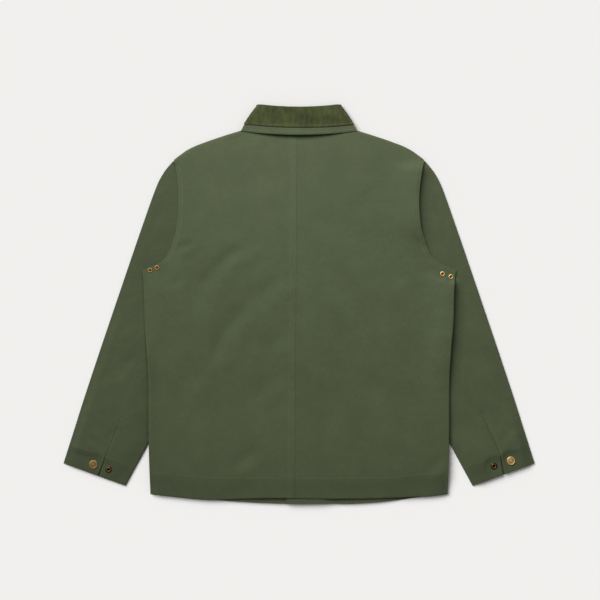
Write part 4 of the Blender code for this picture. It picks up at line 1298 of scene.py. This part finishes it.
def sew(node, lines, slot="twill", from_above=True, **sizes):
    """Rows of stitches along lines in (x, y), dropped on to a node's cloth from above or from below."""
    name, piece = f"{node}_stitches", bpy.data.objects[f"{node}_cloth"]
    shell = piece.evaluated_get(bpy.context.evaluated_depsgraph_get())
    side = 1 if from_above else -1
    points, edges = [], []
    for line in lines:
        last = None
        for x, y in stepped(line):
            hit, spot, normal, _ = shell.ray_cast(place([x, y, RAY_FROM * side]), (0, 0, -side))
            if not hit:
                last = None
                continue
            points.append(spot - normal * SINK * MM)
            if last is not None:
                edges.append((last, len(points) - 1))
            last = len(points) - 1
    path = bpy.data.meshes.new(name + "_path")
    path.from_pydata(points, edges, [])
    path_object = bpy.data.objects.new(name + "_path", path)
    bpy.context.scene.collection.objects.link(path_object)
    rows = path_object.modifiers.new("stitches", "NODES")
    rows.node_group = sewing
    for label, size in {**STITCH, **sizes}.items():
        rows[sockets[label]] = size * MM
    rows[sockets["Thread"]] = THREADS[slot]
    made = bpy.data.meshes.new_from_object(path_object.evaluated_get(bpy.context.evaluated_depsgraph_get()))
    path_object.modifiers.clear()
    bpy.data.objects.remove(path_object)
    made.name = name
    add_piece(name, made, slot)
    print(name, len(made.vertices) // 20, "stitches")


# %% The rows on the back and the fronts
for name, side in SIDES:
    y = np.linspace(BACK_HEM + 1, BACK_NECK - 2, 120)
    lines = [joined(-fell_lean(y) - offset, y) for offset in FELL_LINES] if side < 0 else []
    x = np.linspace(1, HEM_HALF - 1.5, 60) - (FELL_HEM if side > 0 else -FELL_HEM - 1)
    x = x[x < HEM_HALF - 1.5]
    lines.append(joined(side * x, back_hem(x) + HEM_DEPTH))
    y = np.linspace(SHOULDER_TIP - 4, UNDERARM + 9, 90)
    lean = (ease(ARMHOLE, y + 1) - ease(ARMHOLE, y - 1)) / 2
    inside = ARMHOLE_STITCH / np.hypot(1, lean)
    lines.append(joined(side * (ease(ARMHOLE, y) - inside), y + inside * lean))
    sew(f"back_{name}", lines)
    x = np.linspace(2 - PLACKET_HALF, HEM_HALF - 4, 60)
    y = np.linspace(6, FRONT_NECK - 4, 60)
    sew(f"front_{name}", [joined(side * x, front_hem(x) + HEM_DEPTH), joined(side * (4 - PLACKET_HALF), y),
                          joined(side * PLACKET_HALF, y)], from_above=False)

# %% The rows on the sleeves
BESIDE_SEAM = 2.4           # of the stitches
for name, side in SIDES:
    top_seam, under_seam = [], []
    for height in np.linspace(UNDER_TOP - 4, CUFF_INNER + 1, 110):
        outer, inner = sleeve_ends(height, True)
        width = np.linalg.norm(outer - inner)
        share = seam_shares(height, side)[0]
        top_seam.append(outer + (inner - outer) * (share - BESIDE_SEAM / width))
        if height < VENT_TOP:
            open_by = vent_gap(height) / width
            under_seam.append(outer + (inner - outer) * (share + open_by + BESIDE_SEAM / width))
    ends = np.array([CUFF_LINE[0][::-1], CUFF_LINE[1][::-1]])
    along = (ends[1] - ends[0]) / np.linalg.norm(ends[1] - ends[0])
    up = np.array([-along[1], along[0]])
    up = CUFF_DEPTH * (up if up[1] > 0 else -up)
    for half, seam, shares in (("top", top_seam, np.linspace(-0.1, 0.55, 30)),
                               ("under", under_seam, np.linspace(0.56, 1.2, 30))):
        rows = (seam, along_line(*ends, shares) + up)
        sew(f"sleeve_{half}_{name}", [np.array(row) * (side, 1) for row in rows], Width=0.55)

# %% The rows on the collar
across = np.linspace(-0.985, 0.985, 80)
down_ends = np.linspace(0.02, 0.94, 30) * FACING_SHARE
fall_depth = ROLL_CENTRE - FREE_CENTRE
sew("collar_fall", [joined(*on_fall(across, 1 - 6 / fall_depth))])
sew("collar_corduroy", [joined(*on_fall(across, FACING_SHARE - 2.4 / fall_depth))]
    + [joined(*on_fall(end, down_ends, inward=3.6)) for end in (-1, 1)], "corduroy", Pitch=2.6, Length=2.1)
for name, side in SIDES:
    row = on_leaf(0.9, np.linspace(0.04, 0.96, 40)) * (side, 1)
    sew(f"collar_leaf_{name}", [row], "corduroy", from_above=False)

# %% [markdown]
# ## What each sheet was cut to
# Every shell's UV map is its pattern, in metres, so the pattern's width, length and area come from there.

# %% The sheets
LIES_ON = {
    "back_left": ("front_left_cloth", "sleeve_under_left_cloth"),
    "back_right": ("front_right_cloth", "sleeve_under_right_cloth"),
    "front_left": (), "front_right": ("front_left_cloth",),
    "sleeve_top_left": (), "sleeve_top_right": (),
    "sleeve_under_left": ("sleeve_top_left_cloth",), "sleeve_under_right": ("sleeve_top_right_cloth",),
    "cuff_underlap_left": ("sleeve_top_left_cloth",), "cuff_underlap_right": ("sleeve_top_right_cloth",),
    "collar_fall": ("back_left_cloth", "back_right_cloth"), "collar_corduroy": ("collar_fall_cloth",),
    "collar_stand": ("back_left_cloth", "back_right_cloth"),
    "collar_leaf_left": (), "collar_leaf_right": (),
}
for node, below in LIES_ON.items():
    piece = bpy.data.objects[f"{node}_cloth"]
    pattern = np.empty(len(piece.data.loops) * 2)
    piece.data.uv_layers["cloth"].data.foreach_get("uv", pattern)
    pattern = pattern.reshape(-1, 4, 2)
    width, length = (float(value) for value in np.ptp(pattern.reshape(-1, 2), axis=0))
